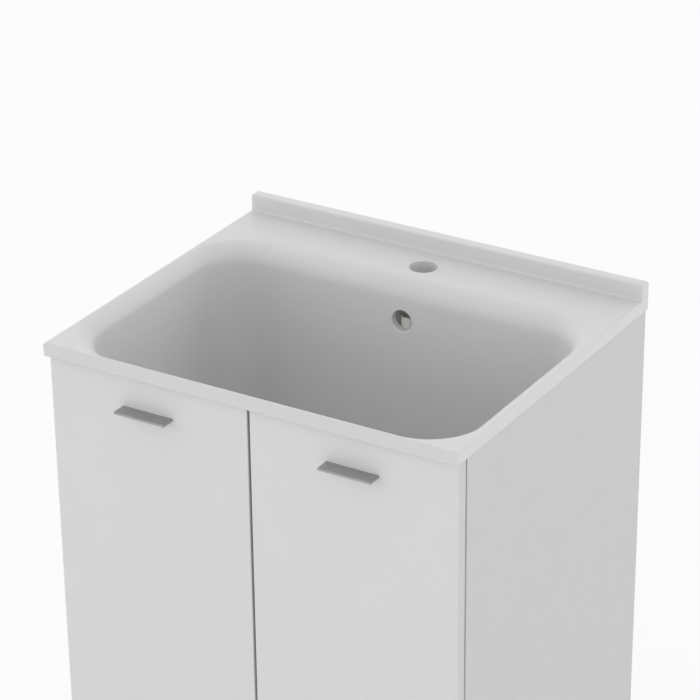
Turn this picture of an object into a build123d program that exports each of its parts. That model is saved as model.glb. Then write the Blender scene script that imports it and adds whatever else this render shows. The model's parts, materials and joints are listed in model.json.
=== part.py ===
from build123d import *
import math
import os

# Laundry washbasin on a two-door cabinet, in millimetres.
# +X is to the right as one faces the doors, +Y to the wall behind, +Z up.
# The origin lies on the floor, below the middle of the box that holds the whole object.

# Basin
deck_width = 600.0
deck_depth = 505.0
deck_top = 850.0
deck_edge = 18.0
deck_corner = 4.5
deck_round = 3.0
basin_wall = 4.0
upstand_height = 22.5
upstand_thickness = 18.0
upstand_cove = 4.0
rim_flat = 0.5
bowl_depth = 270.0
bowl_back_land = 93.0
bowl_corner = 92.0
bowl_floor_round = 35.0
bowl_side_gap = 1.25
side_lip_drop = 19.0
side_lip_fullness = 1.8
side_draft = 3.0
bowl_front_gap = 1.0
front_lip_drop = 19.0
front_lip_fullness = 1.5
front_draft = 8.0
back_lip_reach = 28.0
back_lip_drop = 28.0
back_lip_fullness = 2.0
back_draft = 2.0
rib_thickness = 4.0
rib_pitch = 70.0

# Tap hole, overflow hole and drain
tap_hole_radius = 19.0
tap_hole_back = 64.0
tap_boss_wall = 6.0
tap_boss_length = 24.0
overflow_radius = 15.0
overflow_below_deck = 55.5
overflow_spigot_wall = 3.5
overflow_spigot_length = 8.0
drain_forward = 7.5
drain_hole_gap = 3.0
drain_dish_radius = 88.0
drain_dish_drop = 3.5
drain_seat_gap = 2.0
drain_seat_thickness = 6.0

# Waste fitting
sheet = 1.5
gasket = 1.5
under_gasket = 2.5
flange_radius = 56.0
flange_cup_radius = 42.0
flange_cup_depth = 46.0
flange_drain_holes = 8
flange_drain_hole_radius = 6.0
flange_drain_hole_circle = 27.0
waste_bowl_gap = 2.5
waste_bowl_depth = 62.0
waste_rim = 4.0
waste_rim_inset = 1.0
waste_webs = 4
waste_web = 3.0
waste_web_height = 12.0
waste_wall = 3.0
waste_outlet_length = 34.0
waste_hub_radius = 8.0
waste_screw_radius = 3.0
waste_screw_head = 6.5
waste_screw_head_height = 3.5
waste_inlet_wall = 3.0
waste_inlet_length = 24.0
waste_inlet_socket = 16.0
waste_inlet_above_bottom = 12.0
basket_gap = 2.2
basket_taper = 4.0
basket_height = 36.0
basket_wall = 1.2
basket_rows = 2
basket_slots = 16
basket_slot_width = 3.2
basket_slot_height = 6.0
basket_seal = 4.0
basket_knob_radius = 9.0
basket_knob_stem = 3.5

# Overflow pipe
overflow_pipe_radius = 10.0
overflow_pipe_wall = 1.8
overflow_bend = 42.0
overflow_elbow_wall = 2.8
overflow_elbow_drop = 52.0
overflow_elbow_socket = 22.0
overflow_seal = 2.0
overflow_nut_wall = 4.0
overflow_nut_length = 16.0

# Bottle trap
pipe_radius = 20.0
pipe_wall = 2.0
spigot_wall = 3.9
collar_height = 3.0
collar_inset = 0.4
washer = 2.0
nut_wall = 5.0
nut_length = 24.0
nut_flutes = 12
nut_flute_radius = 2.2
trap_neck_below_waste = 36.0
trap_neck_length = 22.0
trap_body_radius = 38.0
trap_body_wall = 3.5
trap_body_length = 96.0
trap_outlet_drop = 30.0
trap_outlet_spigot = 30.0
trap_outlet_stop = 6.0
trap_cup_length = 84.0
trap_cup_wall = 3.0
trap_cup_overlap = 18.0
trap_dip_clearance = 42.0
trap_outlet_set_back = 6.0
trap_outlet_push_in = 45.0
trap_outlet_mark = 1.5
trap_outlet_mark_depth = 0.4
trap_outlet_lead = 3.0
trap_outlet_lead_depth = 0.8

# Cabinet
deck_over_side = 2.75
cabinet_bottom = 100.0
board = 16.0
board_edge_round = 0.6
back_set_in = 0.5
top_rail_height = 90.0
bottom_rail_height = 80.0
wall_hole_radius = 3.0
wall_hole_spacing = 400.0
wall_hole_below_top = 45.0
dowel_radius = 4.0
dowel_length = 30.0
cam_radius = 7.5
cam_depth = 12.5
cam_inset = 24.0
cam_bolt_radius = 3.0
cam_bolt_head = 3.6
cam_bolt_neck = 1.8
cam_bolt_in_side = 11.0
dowel_in_side = 10.0
joint_spread = 32.0
floor_joint_inset = 125.0
bracket_size = 28.0
bracket_width = 24.0
bracket_sheet = 2.0
bracket_boss_radius = 7.0
screw_radius = 2.0
screw_head_radius = 3.8
screw_head_height = 2.2
screw_length = 13.0

# Legs
leg_inset_side = 60.0
leg_inset_end = 55.0
leg_plate = 70.0
leg_plate_thickness = 5.0
leg_plate_corner = 10.0
leg_screw_circle = 36.0
leg_radius = 17.0
leg_bore = 10.2
leg_column_length = 69.0
leg_collar_wall = 3.0
leg_collar_height = 12.0
leg_ribs = 12
foot_pad_radius = 27.0
foot_pad_height = 10.0
foot_stem_length = 46.0
foot_travel = 15.0

# Doors, handles and hinges
door_thickness = 18.0
door_set_back = 9.0
door_carcass_gap = 2.5
door_middle_gap = 3.5
door_top_gap = 2.5
door_bottom_cover = 14.0
door_round = 1.5
door_hinge_round = 2.0
handle_width = 74.5
handle_reach = 21.5
handle_blade = 3.2
handle_flange = 5.0
handle_flange_height = 11.0
handle_flange_inset = 10.5
handle_root = 2.0
handle_below_deck = 63.7
handle_screw_spacing = 32.0
handle_screw_depth = 3.8
hinge_from_end = 95.0
hinge_cup_radius = 17.5
hinge_cup_wall = 1.0
hinge_cup_depth = 13.2
hinge_cup_tab = 3.0
hinge_wing_length = 60.0
hinge_wing_width = 22.0
hinge_wing_sheet = 1.2
hinge_cup_screw_spacing = 46.0
hinge_pin_radius = 1.25
hinge_pin_in = 7.5
hinge_pin_deep = 9.5
hinge_eye_radius = 2.6
hinge_arm_sheet = 2.0
hinge_neck_half = 4.4
hinge_lug_start = 5.0
hinge_lug_half = 3.0
hinge_arm_half = 7.0
hinge_neck_run = 8.0
hinge_neck_bend = 12.0
hinge_arm_length = 44.0
hinge_bridge_half = 5.0
hinge_plate_start = 8.0
hinge_plate_length = 38.0
hinge_plate_width = 46.0
hinge_plate_sheet = 2.0
hinge_plate_screw_spacing = 32.0
buffer_radius = 4.0
buffer_height = 2.2
buffer_from_middle = 20.0

# Clearances, and how near an edge must lie to a place to be picked there
slip = 0.1
running = 0.05
seat = 0.3
touch = 0.1

# Places that follow from the sizes above
overall_depth = deck_depth + handle_reach - door_set_back
deck_back = overall_depth / 2
deck_front = deck_back - deck_depth
deck_mid = (deck_front + deck_back) / 2
deck_half = deck_width / 2
deck_under = deck_top - deck_edge
door_front = deck_front + door_set_back
door_back = door_front + door_thickness
carcass_front = door_back + door_carcass_gap
carcass_back = deck_back - back_set_in
side_outer = deck_half - deck_over_side
side_inner = side_outer - board
cabinet_top = deck_under
floor_top = cabinet_bottom + board
rail_front = carcass_back - board
rim_land = deck_round + rim_flat
side_lip_reach = deck_half - rim_land - (side_inner - bowl_side_gap - basin_wall)
front_lip_reach = door_back + bowl_front_gap + basin_wall - (deck_front + rim_land)
bowl_floor = deck_top - bowl_depth
drain_y = deck_mid - drain_forward
drain_radius = flange_cup_radius + drain_hole_gap
drain_seat_radius = flange_radius + drain_seat_gap
drain_top = bowl_floor - drain_dish_drop
drain_seat = drain_top - sheet - gasket
drain_under = drain_seat - drain_seat_thickness
tap_y = deck_back - tap_hole_back
overflow_z = deck_top - overflow_below_deck
waste_body_radius = drain_seat_radius - waste_rim_inset
waste_outlet_radius = pipe_radius + spigot_wall
waste_outlet_bore = pipe_radius
collar_radius = waste_outlet_radius - collar_inset
waste_top = drain_under - under_gasket
waste_bottom = waste_top - waste_bowl_depth
waste_end = waste_bottom - waste_outlet_length
waste_inlet_z = waste_bottom + waste_wall + waste_inlet_above_bottom
waste_bowl_bore = flange_cup_radius + waste_bowl_gap
waste_bowl_outer = waste_bowl_bore + waste_wall
overflow_socket = overflow_pipe_radius + slip
waste_inlet_outer = overflow_socket + waste_inlet_wall
waste_inlet_end = waste_bowl_outer + waste_inlet_length
basket_low = drain_top - flange_cup_depth + sheet + running + basket_seal
basket_radius = flange_cup_radius - sheet - basket_gap
trap_neck_top = waste_end - trap_neck_below_waste
trap_body_top = trap_neck_top - trap_neck_length
trap_body_bottom = trap_body_top - trap_body_length
trap_outlet_z = trap_body_top - trap_outlet_drop
trap_outlet_end = drain_y + trap_body_radius + trap_outlet_spigot
trap_cup_bottom = trap_body_bottom - trap_cup_length + trap_cup_overlap
door_top = deck_under - door_top_gap
door_bottom = floor_top - door_bottom_cover
door_inner = door_middle_gap / 2
handle_middle = (side_outer + door_inner) / 2
handle_top = deck_top - handle_below_deck
handle_screw_z = handle_top - handle_flange_height / 2
hinge_cup_centre = hinge_cup_tab + hinge_cup_radius
hinge_heights = (door_bottom + hinge_from_end, door_top - hinge_from_end)
hinge_arm_out = hinge_pin_in + hinge_neck_run + hinge_neck_bend
hinge_arm_start = hinge_neck_bend - hinge_pin_deep
hinge_plate_top = board + hinge_plate_sheet
leg_x = side_outer - leg_inset_side
leg_places = [(sign * leg_x, y) for y in (carcass_front + leg_inset_end, carcass_back - leg_inset_end)
              for sign in (-1, 1)]
leg_plate_under = cabinet_bottom - leg_plate_thickness
leg_bore_top = foot_pad_height + foot_stem_length + foot_travel + 2


def upright(radius, height):
    return Cylinder(radius, height, align=(Align.CENTER, Align.CENTER, Align.MIN))


def tube(outer, inner, height):
    return upright(outer, height) - upright(inner, height)


def block(low, high):
    size = [b - a for a, b in zip(low, high)]
    return Pos(*low) * Box(*size, align=(Align.MIN, Align.MIN, Align.MIN))


def pair_of(spacing):
    return (-spacing / 2, spacing / 2)


def near(edges, axis, place):
    # The edges that lie wholly at one place along an axis.
    return edges.filter_by_position(axis, place - touch, place + touch)


def joined(body, added):
    # Surfaces that only touch can spoil a join or a cut without a word, so the volumes are compared.
    whole = body + added
    if whole.volume < added.volume:
        raise ValueError("the bowl's outside did not join the deck")
    return whole


def hollowed(body, taken):
    left = body - taken
    if body.volume - left.volume < 0.99 * taken.volume:
        raise ValueError("the bowl was not cut out whole")
    return left


def turned(points):
    outline = Polyline(*[(radius, 0, height) for radius, height in points], close=True)
    return revolve(make_face(outline), Axis.Z)


def mirrored(part):
    return mirror(part, Plane.YZ)


def toward_back(part):
    return Rot(-90, 0, 0) * part


def toward_front(part):
    return Rot(90, 0, 0) * part


def toward_right(part):
    return Rot(0, 90, 0) * part


def screw(length=screw_length, radius=screw_radius, head=screw_head_radius, rise=screw_head_height):
    # The head's underside is at the origin, the shank points down and the crown is turned.
    crown = turned([(0, 0), (head, 0), (head, rise * 0.45), (head * 0.6, rise), (0, rise)])
    return crown + Pos(0, 0, -length) * upright(radius, length)


def lip_inset(depth, reach, drop, fullness, draft):
    # How far the bowl's wall stands in from the start of its lip at a depth below the deck.
    if depth >= drop:
        return reach + (depth - drop) * math.tan(math.radians(draft))
    share = 1 - max(depth, 0) / drop
    return reach * (1 - share**fullness) ** (1 / fullness)


def bowl_section(depth, skin, bottom):
    # One level of the bowl: skin is 0 for the inside and the wall's thickness for the outside.
    lower = bottom - bowl_floor_round
    level = min(depth, lower) - skin
    front = lip_inset(level, front_lip_reach - skin, front_lip_drop - skin, front_lip_fullness, front_draft)
    back = lip_inset(level, back_lip_reach - skin, back_lip_drop - skin, back_lip_fullness, back_draft)
    side = lip_inset(level, side_lip_reach - skin, side_lip_drop - skin, side_lip_fullness, side_draft)
    turn = 0
    if depth > lower:
        turn = bowl_floor_round - math.sqrt(max(bowl_floor_round**2 - (depth - lower) ** 2, 0))
    width = deck_width - 2 * (rim_land + side + turn)
    length = deck_depth - rim_land - bowl_back_land - front - back - 2 * turn
    middle = (deck_front + rim_land + front + deck_back - bowl_back_land - back) / 2
    corner = bowl_corner - side - turn
    return Pos(0, middle, deck_top - depth) * RectangleRounded(width, length, corner)


def bowl_form(skin):
    # A smooth skin through level sections: close together on the lip and the floor's round.
    bottom = bowl_depth + skin
    drop = back_lip_drop
    turns = (0, 12, 24, 36, 48, 60, 75, 90)
    lip = [skin + (drop - skin) * (1 - math.cos(math.radians(turn))) for turn in turns]
    lower = bottom - bowl_floor_round
    wall = [drop + (lower - drop) * share for share in (0.25, 0.5, 0.75)]
    floor = [lower + bowl_floor_round * math.sin(math.radians(turn)) for turn in (0, 20, 40, 60, 75, 90)]
    return loft([bowl_section(depth, skin, bottom) for depth in lip + wall + floor])


def basin():
    inset = (-deck_half, deck_front, deck_under)
    shell = block(inset, (deck_half, deck_back, deck_top))
    upstand_front = deck_back - upstand_thickness
    shell += block((-deck_half, upstand_front, deck_top), (deck_half, deck_back, deck_top + upstand_height))
    foot = near(shell.edges().filter_by(Axis.X), Axis.Y, upstand_front)
    shell = fillet(near(foot, Axis.Z, deck_top), upstand_cove)
    uprights = shell.edges().filter_by(Axis.Z)
    corners = near(uprights, Axis.Y, deck_front) + near(uprights, Axis.Y, deck_back)
    shell = fillet(corners, deck_corner)
    upper = shell.edges().filter_by(lambda edge: edge.center().Z > deck_top - touch)
    outer = upper.filter_by(lambda edge: abs(edge.center().X) > deck_half - deck_corner - touch
                            or edge.center().Y < deck_front + deck_corner + touch
                            or edge.center().Z > deck_top + upstand_height - touch)
    outer = outer.filter_by(lambda edge: edge.length > 0.5)
    back_start = deck_back - deck_corner - touch
    back_uprights = outer.filter_by(Axis.Z).filter_by(lambda edge: edge.center().Y > back_start)
    shell = fillet(ShapeList([edge for edge in outer if edge not in back_uprights]), deck_round)
    skin = basin_wall
    shell -= block((-deck_half + skin, deck_front + skin, deck_under - 1),
                   (deck_half - skin, deck_back - skin, deck_top - skin))
    shell -= block((-deck_half + skin, upstand_front + skin, deck_under),
                   (deck_half - skin, deck_back - skin, deck_top + upstand_height - skin))
    half = rib_thickness / 2
    rib_top = deck_top - skin
    for x in rib_places(deck_width):
        shell += block((x - half, deck_front + half, deck_under), (x + half, deck_back - half, rib_top))
    for place in rib_places(deck_depth):
        y = deck_mid + place
        shell += block((-deck_half + half, y - half, deck_under), (deck_half - half, y + half, rib_top))
    shell = joined(shell, bowl_form(skin))
    boss = upright(tap_hole_radius + tap_boss_wall, tap_boss_length - 1)
    shell += Pos(0, tap_y, deck_top - tap_boss_length) * boss
    for x, y in bracket_bosses():
        shell += Pos(x, y, deck_under) * upright(bracket_boss_radius, deck_edge - skin)
    spigot = toward_back(upright(overflow_radius + overflow_spigot_wall, overflow_spigot_length + skin))
    shell += Pos(0, overflow_wall_y(), overflow_z) * spigot
    dish = drain_dish_radius + skin
    shell += Pos(0, drain_y, 0) * turned([
        (0, drain_under), (drain_seat_radius + skin, drain_under),
        (dish, bowl_floor - skin), (dish, bowl_floor - 1), (0, bowl_floor - 1),
    ])
    shell = hollowed(shell, bowl_form(0))
    shell -= Pos(0, drain_y, 0) * turned([
        (0, drain_seat), (drain_seat_radius, drain_seat), (drain_seat_radius, drain_top),
        (drain_dish_radius, bowl_floor), (drain_dish_radius, bowl_floor + 1), (0, bowl_floor + 1),
    ])
    shell -= Pos(0, drain_y, drain_under - 1) * upright(drain_radius, drain_seat_thickness + 2)
    shell -= Pos(0, tap_y, deck_top - tap_boss_length - 1) * upright(tap_hole_radius, tap_boss_length + 2)
    shell -= Pos(0, overflow_wall_y() - 20, overflow_z) * toward_back(upright(overflow_radius, 60))
    for x, y in bracket_bosses():
        shell -= Pos(x, y, deck_under) * upright(screw_radius + slip, deck_edge - skin - 1)
    return shell


def rib_places(span):
    # Ribs on both sides of the deck's middle, as many as fit between its skirts.
    count = int((span / 2 - basin_wall - rib_thickness) // rib_pitch)
    return [step * rib_pitch for step in range(-count, count + 1)]


def overflow_wall_y():
    # The inside of the bowl's back wall at the overflow's height.
    depth = overflow_below_deck
    back = lip_inset(depth, back_lip_reach, back_lip_drop, back_lip_fullness, back_draft)
    return deck_back - bowl_back_land - back


def bracket_places():
    # Corner of each bracket, and the way its level leg points.
    hole = bracket_size * 0.6
    rail_x = wall_hole_spacing / 2 - 45
    side_y = rail_front - 50
    places = [(sign * rail_x, rail_front, (0, -hole), 0) for sign in (-1, 1)]
    places.append((side_inner, side_y, (-hole, 0), -90))
    places.append((-side_inner, side_y, (hole, 0), 90))
    return places


def bracket_bosses():
    return [(x + reach[0], y + reach[1]) for x, y, reach, turn in bracket_places()]


def basin_brackets():
    outline = Polyline((0, 0, 0), (0, -bracket_size, 0), (0, -bracket_size, -bracket_sheet),
                       (0, -bracket_sheet, -bracket_sheet), (0, -bracket_sheet, -bracket_size),
                       (0, 0, -bracket_size), close=True)
    angle = extrude(make_face(outline), bracket_width / 2, both=True, dir=(1, 0, 0))
    corner = near(near(angle.edges().filter_by(Axis.X), Axis.Y, 0), Axis.Z, 0)
    angle = fillet(corner, bracket_sheet * 0.8)
    hole = bracket_size * 0.6
    angle -= Pos(0, -hole, -bracket_sheet - 1) * upright(screw_radius + seat, bracket_sheet + 2)
    angle -= Pos(0, -bracket_sheet - 1, -hole) * toward_back(upright(screw_radius + seat, bracket_sheet + 2))
    group = [Pos(x, y, cabinet_top) * Rot(0, 0, turn) * angle for x, y, reach, turn in bracket_places()]
    return Compound(children=group)


def bracket_screws():
    hole = bracket_size * 0.6
    length = deck_edge - basin_wall - 2 + bracket_sheet
    upward = Pos(0, -hole, -bracket_sheet) * Rot(180, 0, 0) * screw(length - 1)
    sideways = Pos(0, -bracket_sheet, -hole) * Rot(90, 0, 0) * screw()
    group = []
    for x, y, reach, turn in bracket_places():
        group += [Pos(x, y, cabinet_top) * Rot(0, 0, turn) * one for one in (upward, sideways)]
    return Compound(children=group)


def waste_flange():
    cup = flange_cup_radius
    bottom = drain_top - flange_cup_depth
    ring = turned([
        (cup - sheet, drain_top), (flange_radius, drain_top), (flange_radius, drain_top - sheet),
        (cup, drain_top - sheet), (cup, bottom), (0, bottom), (0, bottom + sheet),
        (cup - sheet, bottom + sheet),
    ])
    ring -= Pos(0, 0, bottom - 1) * upright(waste_screw_radius + seat, sheet + 2)
    for place in PolarLocations(flange_drain_hole_circle, flange_drain_holes):
        ring -= Pos(0, 0, bottom - 1) * place * upright(flange_drain_hole_radius, sheet + 2)
    return Pos(0, drain_y, 0) * ring


def waste_gasket_upper():
    return Pos(0, drain_y, drain_seat) * tube(flange_radius - 0.5, drain_radius + 0.5, gasket)


def waste_gasket_lower():
    ring = tube(waste_body_radius - 1, drain_radius + 1, under_gasket)
    return Pos(0, drain_y, drain_under - under_gasket) * ring


def waste_body():
    outer = waste_bowl_outer
    floor = waste_bottom + waste_wall
    rim_under = waste_top - waste_rim
    slope = outer * 0.15
    body = turned([
        (waste_bowl_bore, waste_top), (waste_body_radius, waste_top), (waste_body_radius, rim_under),
        (outer, rim_under), (outer, waste_bottom + slope), (outer - slope, waste_bottom),
        (waste_outlet_radius, waste_bottom), (waste_outlet_radius, waste_end),
        (waste_outlet_bore, waste_end), (waste_outlet_bore, floor), (waste_bowl_bore, floor + slope),
    ])
    hub_top = drain_top - flange_cup_depth
    body += Pos(0, 0, floor) * upright(waste_hub_radius, hub_top - floor)
    half = waste_web / 2
    web = block((0, -half, floor), (waste_bowl_bore + 1, half, floor + waste_web_height))
    for turn in range(waste_webs):
        body += Rot(0, 0, 45 + turn * 360 / waste_webs) * web
    body += Pos(0, waste_bowl_bore, waste_inlet_z) * toward_back(
        upright(waste_inlet_outer, waste_inlet_end - waste_bowl_bore))
    bore = overflow_pipe_radius - overflow_pipe_wall
    body -= Pos(0, waste_bowl_bore - 8, waste_inlet_z) * toward_back(upright(bore, waste_inlet_length + 20))
    socket = Pos(0, waste_inlet_end - waste_inlet_socket, waste_inlet_z)
    body -= socket * toward_back(upright(overflow_socket, waste_inlet_socket + 1))
    body -= Pos(0, 0, floor - 1) * upright(waste_screw_radius + slip, hub_top)
    return Pos(0, drain_y, 0) * body


def waste_screw():
    top = drain_top - flange_cup_depth + sheet
    reach = top - waste_bottom - waste_wall - 1
    bolt = screw(reach, waste_screw_radius, waste_screw_head, waste_screw_head_height)
    bolt -= Pos(0, 0, waste_screw_head_height - 1.5) * Box(waste_screw_head * 1.4, 1.4, 4, align=(
        Align.CENTER, Align.CENTER, Align.MIN))
    return Pos(0, drain_y, top) * bolt


def strainer_basket():
    low = basket_radius - basket_taper
    top = basket_low + basket_height
    wall = basket_wall
    bowl = turned([
        (0, basket_low), (low, basket_low), (basket_radius, top), (basket_radius - 2 * wall, top),
        (basket_radius - 2 * wall, top - wall), (low - wall, basket_low + wall), (0, basket_low + wall),
    ])
    pitch = basket_height / (basket_rows + 1)
    slot = Pos(low - 6, 0, 0) * Box(basket_radius, basket_slot_width, basket_slot_height,
                                    align=(Align.MIN, Align.CENTER, Align.CENTER))
    for row in range(basket_rows):
        height = basket_low + (row + 1) * pitch
        for step in range(basket_slots):
            angle = (step + row / 2) * 360 / basket_slots
            bowl -= Rot(0, 0, angle) * Pos(0, 0, height) * slot
    bowl -= Pos(0, 0, basket_low - 1) * upright(basket_knob_stem + slip, wall + 2)
    return Pos(0, drain_y, 0) * bowl


def strainer_knob():
    # The stem stands on the seal, passes the basket's floor and carries a collar just above it.
    radius = basket_knob_radius
    stem = basket_knob_stem
    collar = basket_low + basket_wall
    top = basket_low + basket_height
    knob = turned([
        (0, basket_low), (stem, basket_low), (stem, collar), (stem * 1.5, collar), (stem * 1.5, collar + 1.5),
        (stem, collar + 3), (stem, top - 8), (radius, top - 4), (radius, top - 1), (radius * 0.7, top + 1.5),
        (0, top + 2),
    ])
    return Pos(0, drain_y, 0) * knob


def strainer_seal():
    low = basket_low - basket_seal
    outer = basket_radius - basket_taper - 1
    ring = turned([(waste_screw_head + 2, low), (outer - 1.5, low), (outer, low + 1.5), (outer, basket_low),
                   (waste_screw_head + 2, basket_low)])
    return Pos(0, drain_y, 0) * ring


def overflow_end_y():
    return overflow_wall_y() + basin_wall + overflow_spigot_length


def overflow_fall_y():
    # The middle of the pipe that falls behind the bowl, close to it so that a tap's shank has room.
    return overflow_end_y() + overflow_seal + overflow_pipe_radius - 1


def overflow_gasket():
    ring = tube(overflow_radius + overflow_spigot_wall - 0.3, overflow_radius + 0.2, overflow_seal)
    return Pos(0, overflow_end_y(), overflow_z) * toward_back(ring)


def overflow_elbow():
    socket = overflow_radius + overflow_spigot_wall + slip
    outer = socket + overflow_elbow_wall
    start = overflow_end_y() - overflow_spigot_length + seat + 2
    back = overflow_fall_y() + overflow_socket + overflow_elbow_wall
    level = Pos(0, 0, overflow_z)
    fall = Pos(0, overflow_fall_y(), overflow_z - overflow_elbow_drop)
    body = level * Pos(0, start, 0) * toward_back(upright(outer, back - start))
    rim = body.edges().filter_by(GeomType.CIRCLE).sort_by(Axis.Y)[-1]
    body = fillet(rim, 4)
    body += fall * upright(overflow_socket + overflow_elbow_wall, overflow_elbow_drop)
    seal_end = overflow_end_y() + overflow_seal
    body -= level * Pos(0, start - 1, 0) * toward_back(upright(socket, seal_end - start + 1))
    chamber = upright(overflow_radius, back - overflow_elbow_wall - seal_end + 1)
    body -= level * Pos(0, seal_end - 1, 0) * toward_back(chamber)
    body -= fall * Pos(0, 0, -1) * upright(overflow_socket, overflow_elbow_socket + 1)
    body -= fall * upright(overflow_pipe_radius - overflow_pipe_wall, overflow_elbow_drop)
    return body


def overflow_pipe():
    top = overflow_z - overflow_elbow_drop + overflow_elbow_socket - seat
    end = drain_y + waste_inlet_end - waste_inlet_socket + seat
    route = FilletPolyline((0, overflow_fall_y(), top), (0, overflow_fall_y(), waste_inlet_z),
                           (0, end, waste_inlet_z), radius=overflow_bend)
    ring = Circle(overflow_pipe_radius) - Circle(overflow_pipe_radius - overflow_pipe_wall)
    return sweep(Plane(origin=route @ 0, z_dir=route % 0) * ring, path=route)


def fluted(body, radius, low, height):
    # Finger flutes round the outside of a hand nut.
    for turn in range(nut_flutes):
        angle = turn * 360 / nut_flutes
        groove = Pos(radius + nut_flute_radius * 0.45, 0, low) * upright(nut_flute_radius, height)
        body -= Rot(0, 0, angle) * groove
    return body


def overflow_nut():
    inner = waste_inlet_outer + slip
    outer = inner + overflow_nut_wall
    lip = 2.5
    mouth = overflow_socket + slip
    length = overflow_nut_length
    nut = turned([(inner, 0), (outer, 0), (outer, length), (mouth, length), (mouth, length - lip),
                  (inner, length - lip)])
    nut = fluted(nut, outer, 3, length)
    place = drain_y + waste_inlet_end - length + lip + seat
    return Pos(0, place, waste_inlet_z) * toward_back(nut)


def compression_nut():
    # Opens downward from z = 0 over a threaded spigot; its lip closes on the pipe above the washer.
    thread = waste_outlet_radius + slip
    lip = 3.0
    outer = thread + nut_wall
    pipe = pipe_radius + slip
    top = washer + collar_height + seat
    nut = turned([(thread, top + lip - nut_length), (outer, top + lip - nut_length), (outer, top + lip - 1.5),
                  (outer - 1.5, top + lip), (pipe, top + lip), (pipe, top), (thread, top)])
    return fluted(nut, outer, top + lip - nut_length + 4, nut_length)


def nut_places():
    # Each place puts the spigot's end at the origin with the spigot below it.
    waste = Pos(0, drain_y, waste_end) * Rot(180, 0, 0)
    neck = Pos(0, drain_y, trap_neck_top)
    outlet = Pos(0, trap_outlet_end, trap_outlet_z) * Rot(-90, 0, 0)
    return [waste, neck, outlet]


def trap_nuts():
    return Compound(children=[place * compression_nut() for place in nut_places()])


def trap_washers():
    inner = pipe_radius + slip
    top = washer + collar_height
    ring = turned([(inner, 0), (collar_radius, 0), (collar_radius, washer), (inner, washer)])
    spacer = turned([(inner, washer), (collar_radius, washer), (pipe_radius + 1.6, top), (inner, top)])
    places = nut_places()
    group = [places[0] * ring, places[1] * (ring + spacer), places[2] * (ring + spacer)]
    return Compound(children=group)


def trap_inlet_pipe():
    top = waste_end - washer
    low = trap_cup_bottom + trap_dip_clearance
    bore = pipe_radius - pipe_wall
    pipe = turned([(bore, low), (pipe_radius, low), (pipe_radius, top - collar_height),
                   (collar_radius, top - collar_height), (collar_radius, top), (bore, top)])
    return Pos(0, drain_y, 0) * pipe


def trap_body():
    outer = trap_body_radius
    inner = outer - trap_body_wall
    spigot = waste_outlet_radius
    bore = pipe_radius + slip
    top = trap_body_top
    body = turned([
        (bore, trap_neck_top), (spigot, trap_neck_top), (spigot, top), (outer - 5, top), (outer, top - 5),
        (outer, trap_body_bottom), (inner, trap_body_bottom), (inner, top - trap_body_wall - 3),
        (inner - 3, top - trap_body_wall), (bore, top - trap_body_wall),
    ])
    shoulder = outer + trap_outlet_stop - seat
    side = Pos(0, 0, trap_outlet_z)
    body += side * toward_back(upright(spigot, outer + trap_outlet_spigot)) - upright(inner, deck_top)
    body -= side * toward_back(upright(pipe_radius - pipe_wall, shoulder + 1))
    body -= side * Pos(0, shoulder, 0) * toward_back(upright(bore, trap_outlet_spigot))
    return Pos(0, drain_y, 0) * body


def trap_cup():
    thread = trap_body_radius + slip
    outer = thread + trap_cup_wall
    inner = trap_body_radius - trap_body_wall
    ledge = trap_body_bottom - washer
    top = trap_body_bottom + trap_cup_overlap
    waist = trap_body_radius
    low = trap_cup_bottom
    cup = turned([
        (thread, top), (outer, top), (outer, ledge - 6), (waist, ledge - 10), (waist - 2, low + 12),
        (waist - 12, low), (0, low), (0, low + trap_cup_wall), (inner - 10, low + trap_cup_wall),
        (inner - 2, low + 12), (inner, ledge), (thread, ledge),
    ])
    cup = fluted(cup, outer, ledge - 12, trap_cup_overlap + 12)
    return Pos(0, drain_y, 0) * cup


def trap_cup_seal():
    ring = tube(trap_body_radius - 0.2, trap_body_radius - trap_body_wall, washer)
    return Pos(0, drain_y, trap_body_bottom - washer) * ring


def trap_outlet_pipe():
    # A shallow groove marks how far the free end goes into its socket.
    start = drain_y + trap_body_radius + trap_outlet_stop
    length = deck_back - trap_outlet_set_back - start
    bore = pipe_radius - pipe_wall
    groove = pipe_radius - trap_outlet_mark_depth
    mark_end = length - trap_outlet_push_in
    mark_start = mark_end - trap_outlet_mark
    pipe = turned([
        (bore, 0), (pipe_radius, 0), (pipe_radius, mark_start), (groove, mark_start), (groove, mark_end),
        (pipe_radius, mark_end), (pipe_radius, length - trap_outlet_lead),
        (pipe_radius - trap_outlet_lead_depth, length), (bore, length),
    ])
    return Pos(0, start, trap_outlet_z) * toward_back(pipe)


def joint_places():
    # Where a board's end meets a side panel, with the cam's opening turned to each board's hidden face.
    floor_z = cabinet_bottom + board / 2
    rail_y = carcass_back - board / 2
    floor_ends = (carcass_front + floor_joint_inset, rail_front - floor_joint_inset)
    places = [Pos(side_inner, y, floor_z) for y in floor_ends]
    for z in (cabinet_top - top_rail_height / 2, floor_top + bottom_rail_height / 2):
        places.append(Pos(side_inner, rail_y, z) * Rot(-90, 0, 0))
    return places


def both_sides(parts):
    return Compound(children=list(parts) + [mirrored(part) for part in parts])


def dowel_row(part):
    return [Pos(0, offset, 0) * part for offset in (-joint_spread, joint_spread)]


def panel_dowels():
    outer = dowel_length - dowel_in_side
    peg = Pos(-outer, 0, 0) * toward_right(upright(dowel_radius, dowel_length))
    peg = chamfer(peg.edges().filter_by(GeomType.CIRCLE), 0.8)
    return both_sides([place * one for place in joint_places() for one in dowel_row(peg)])


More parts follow.
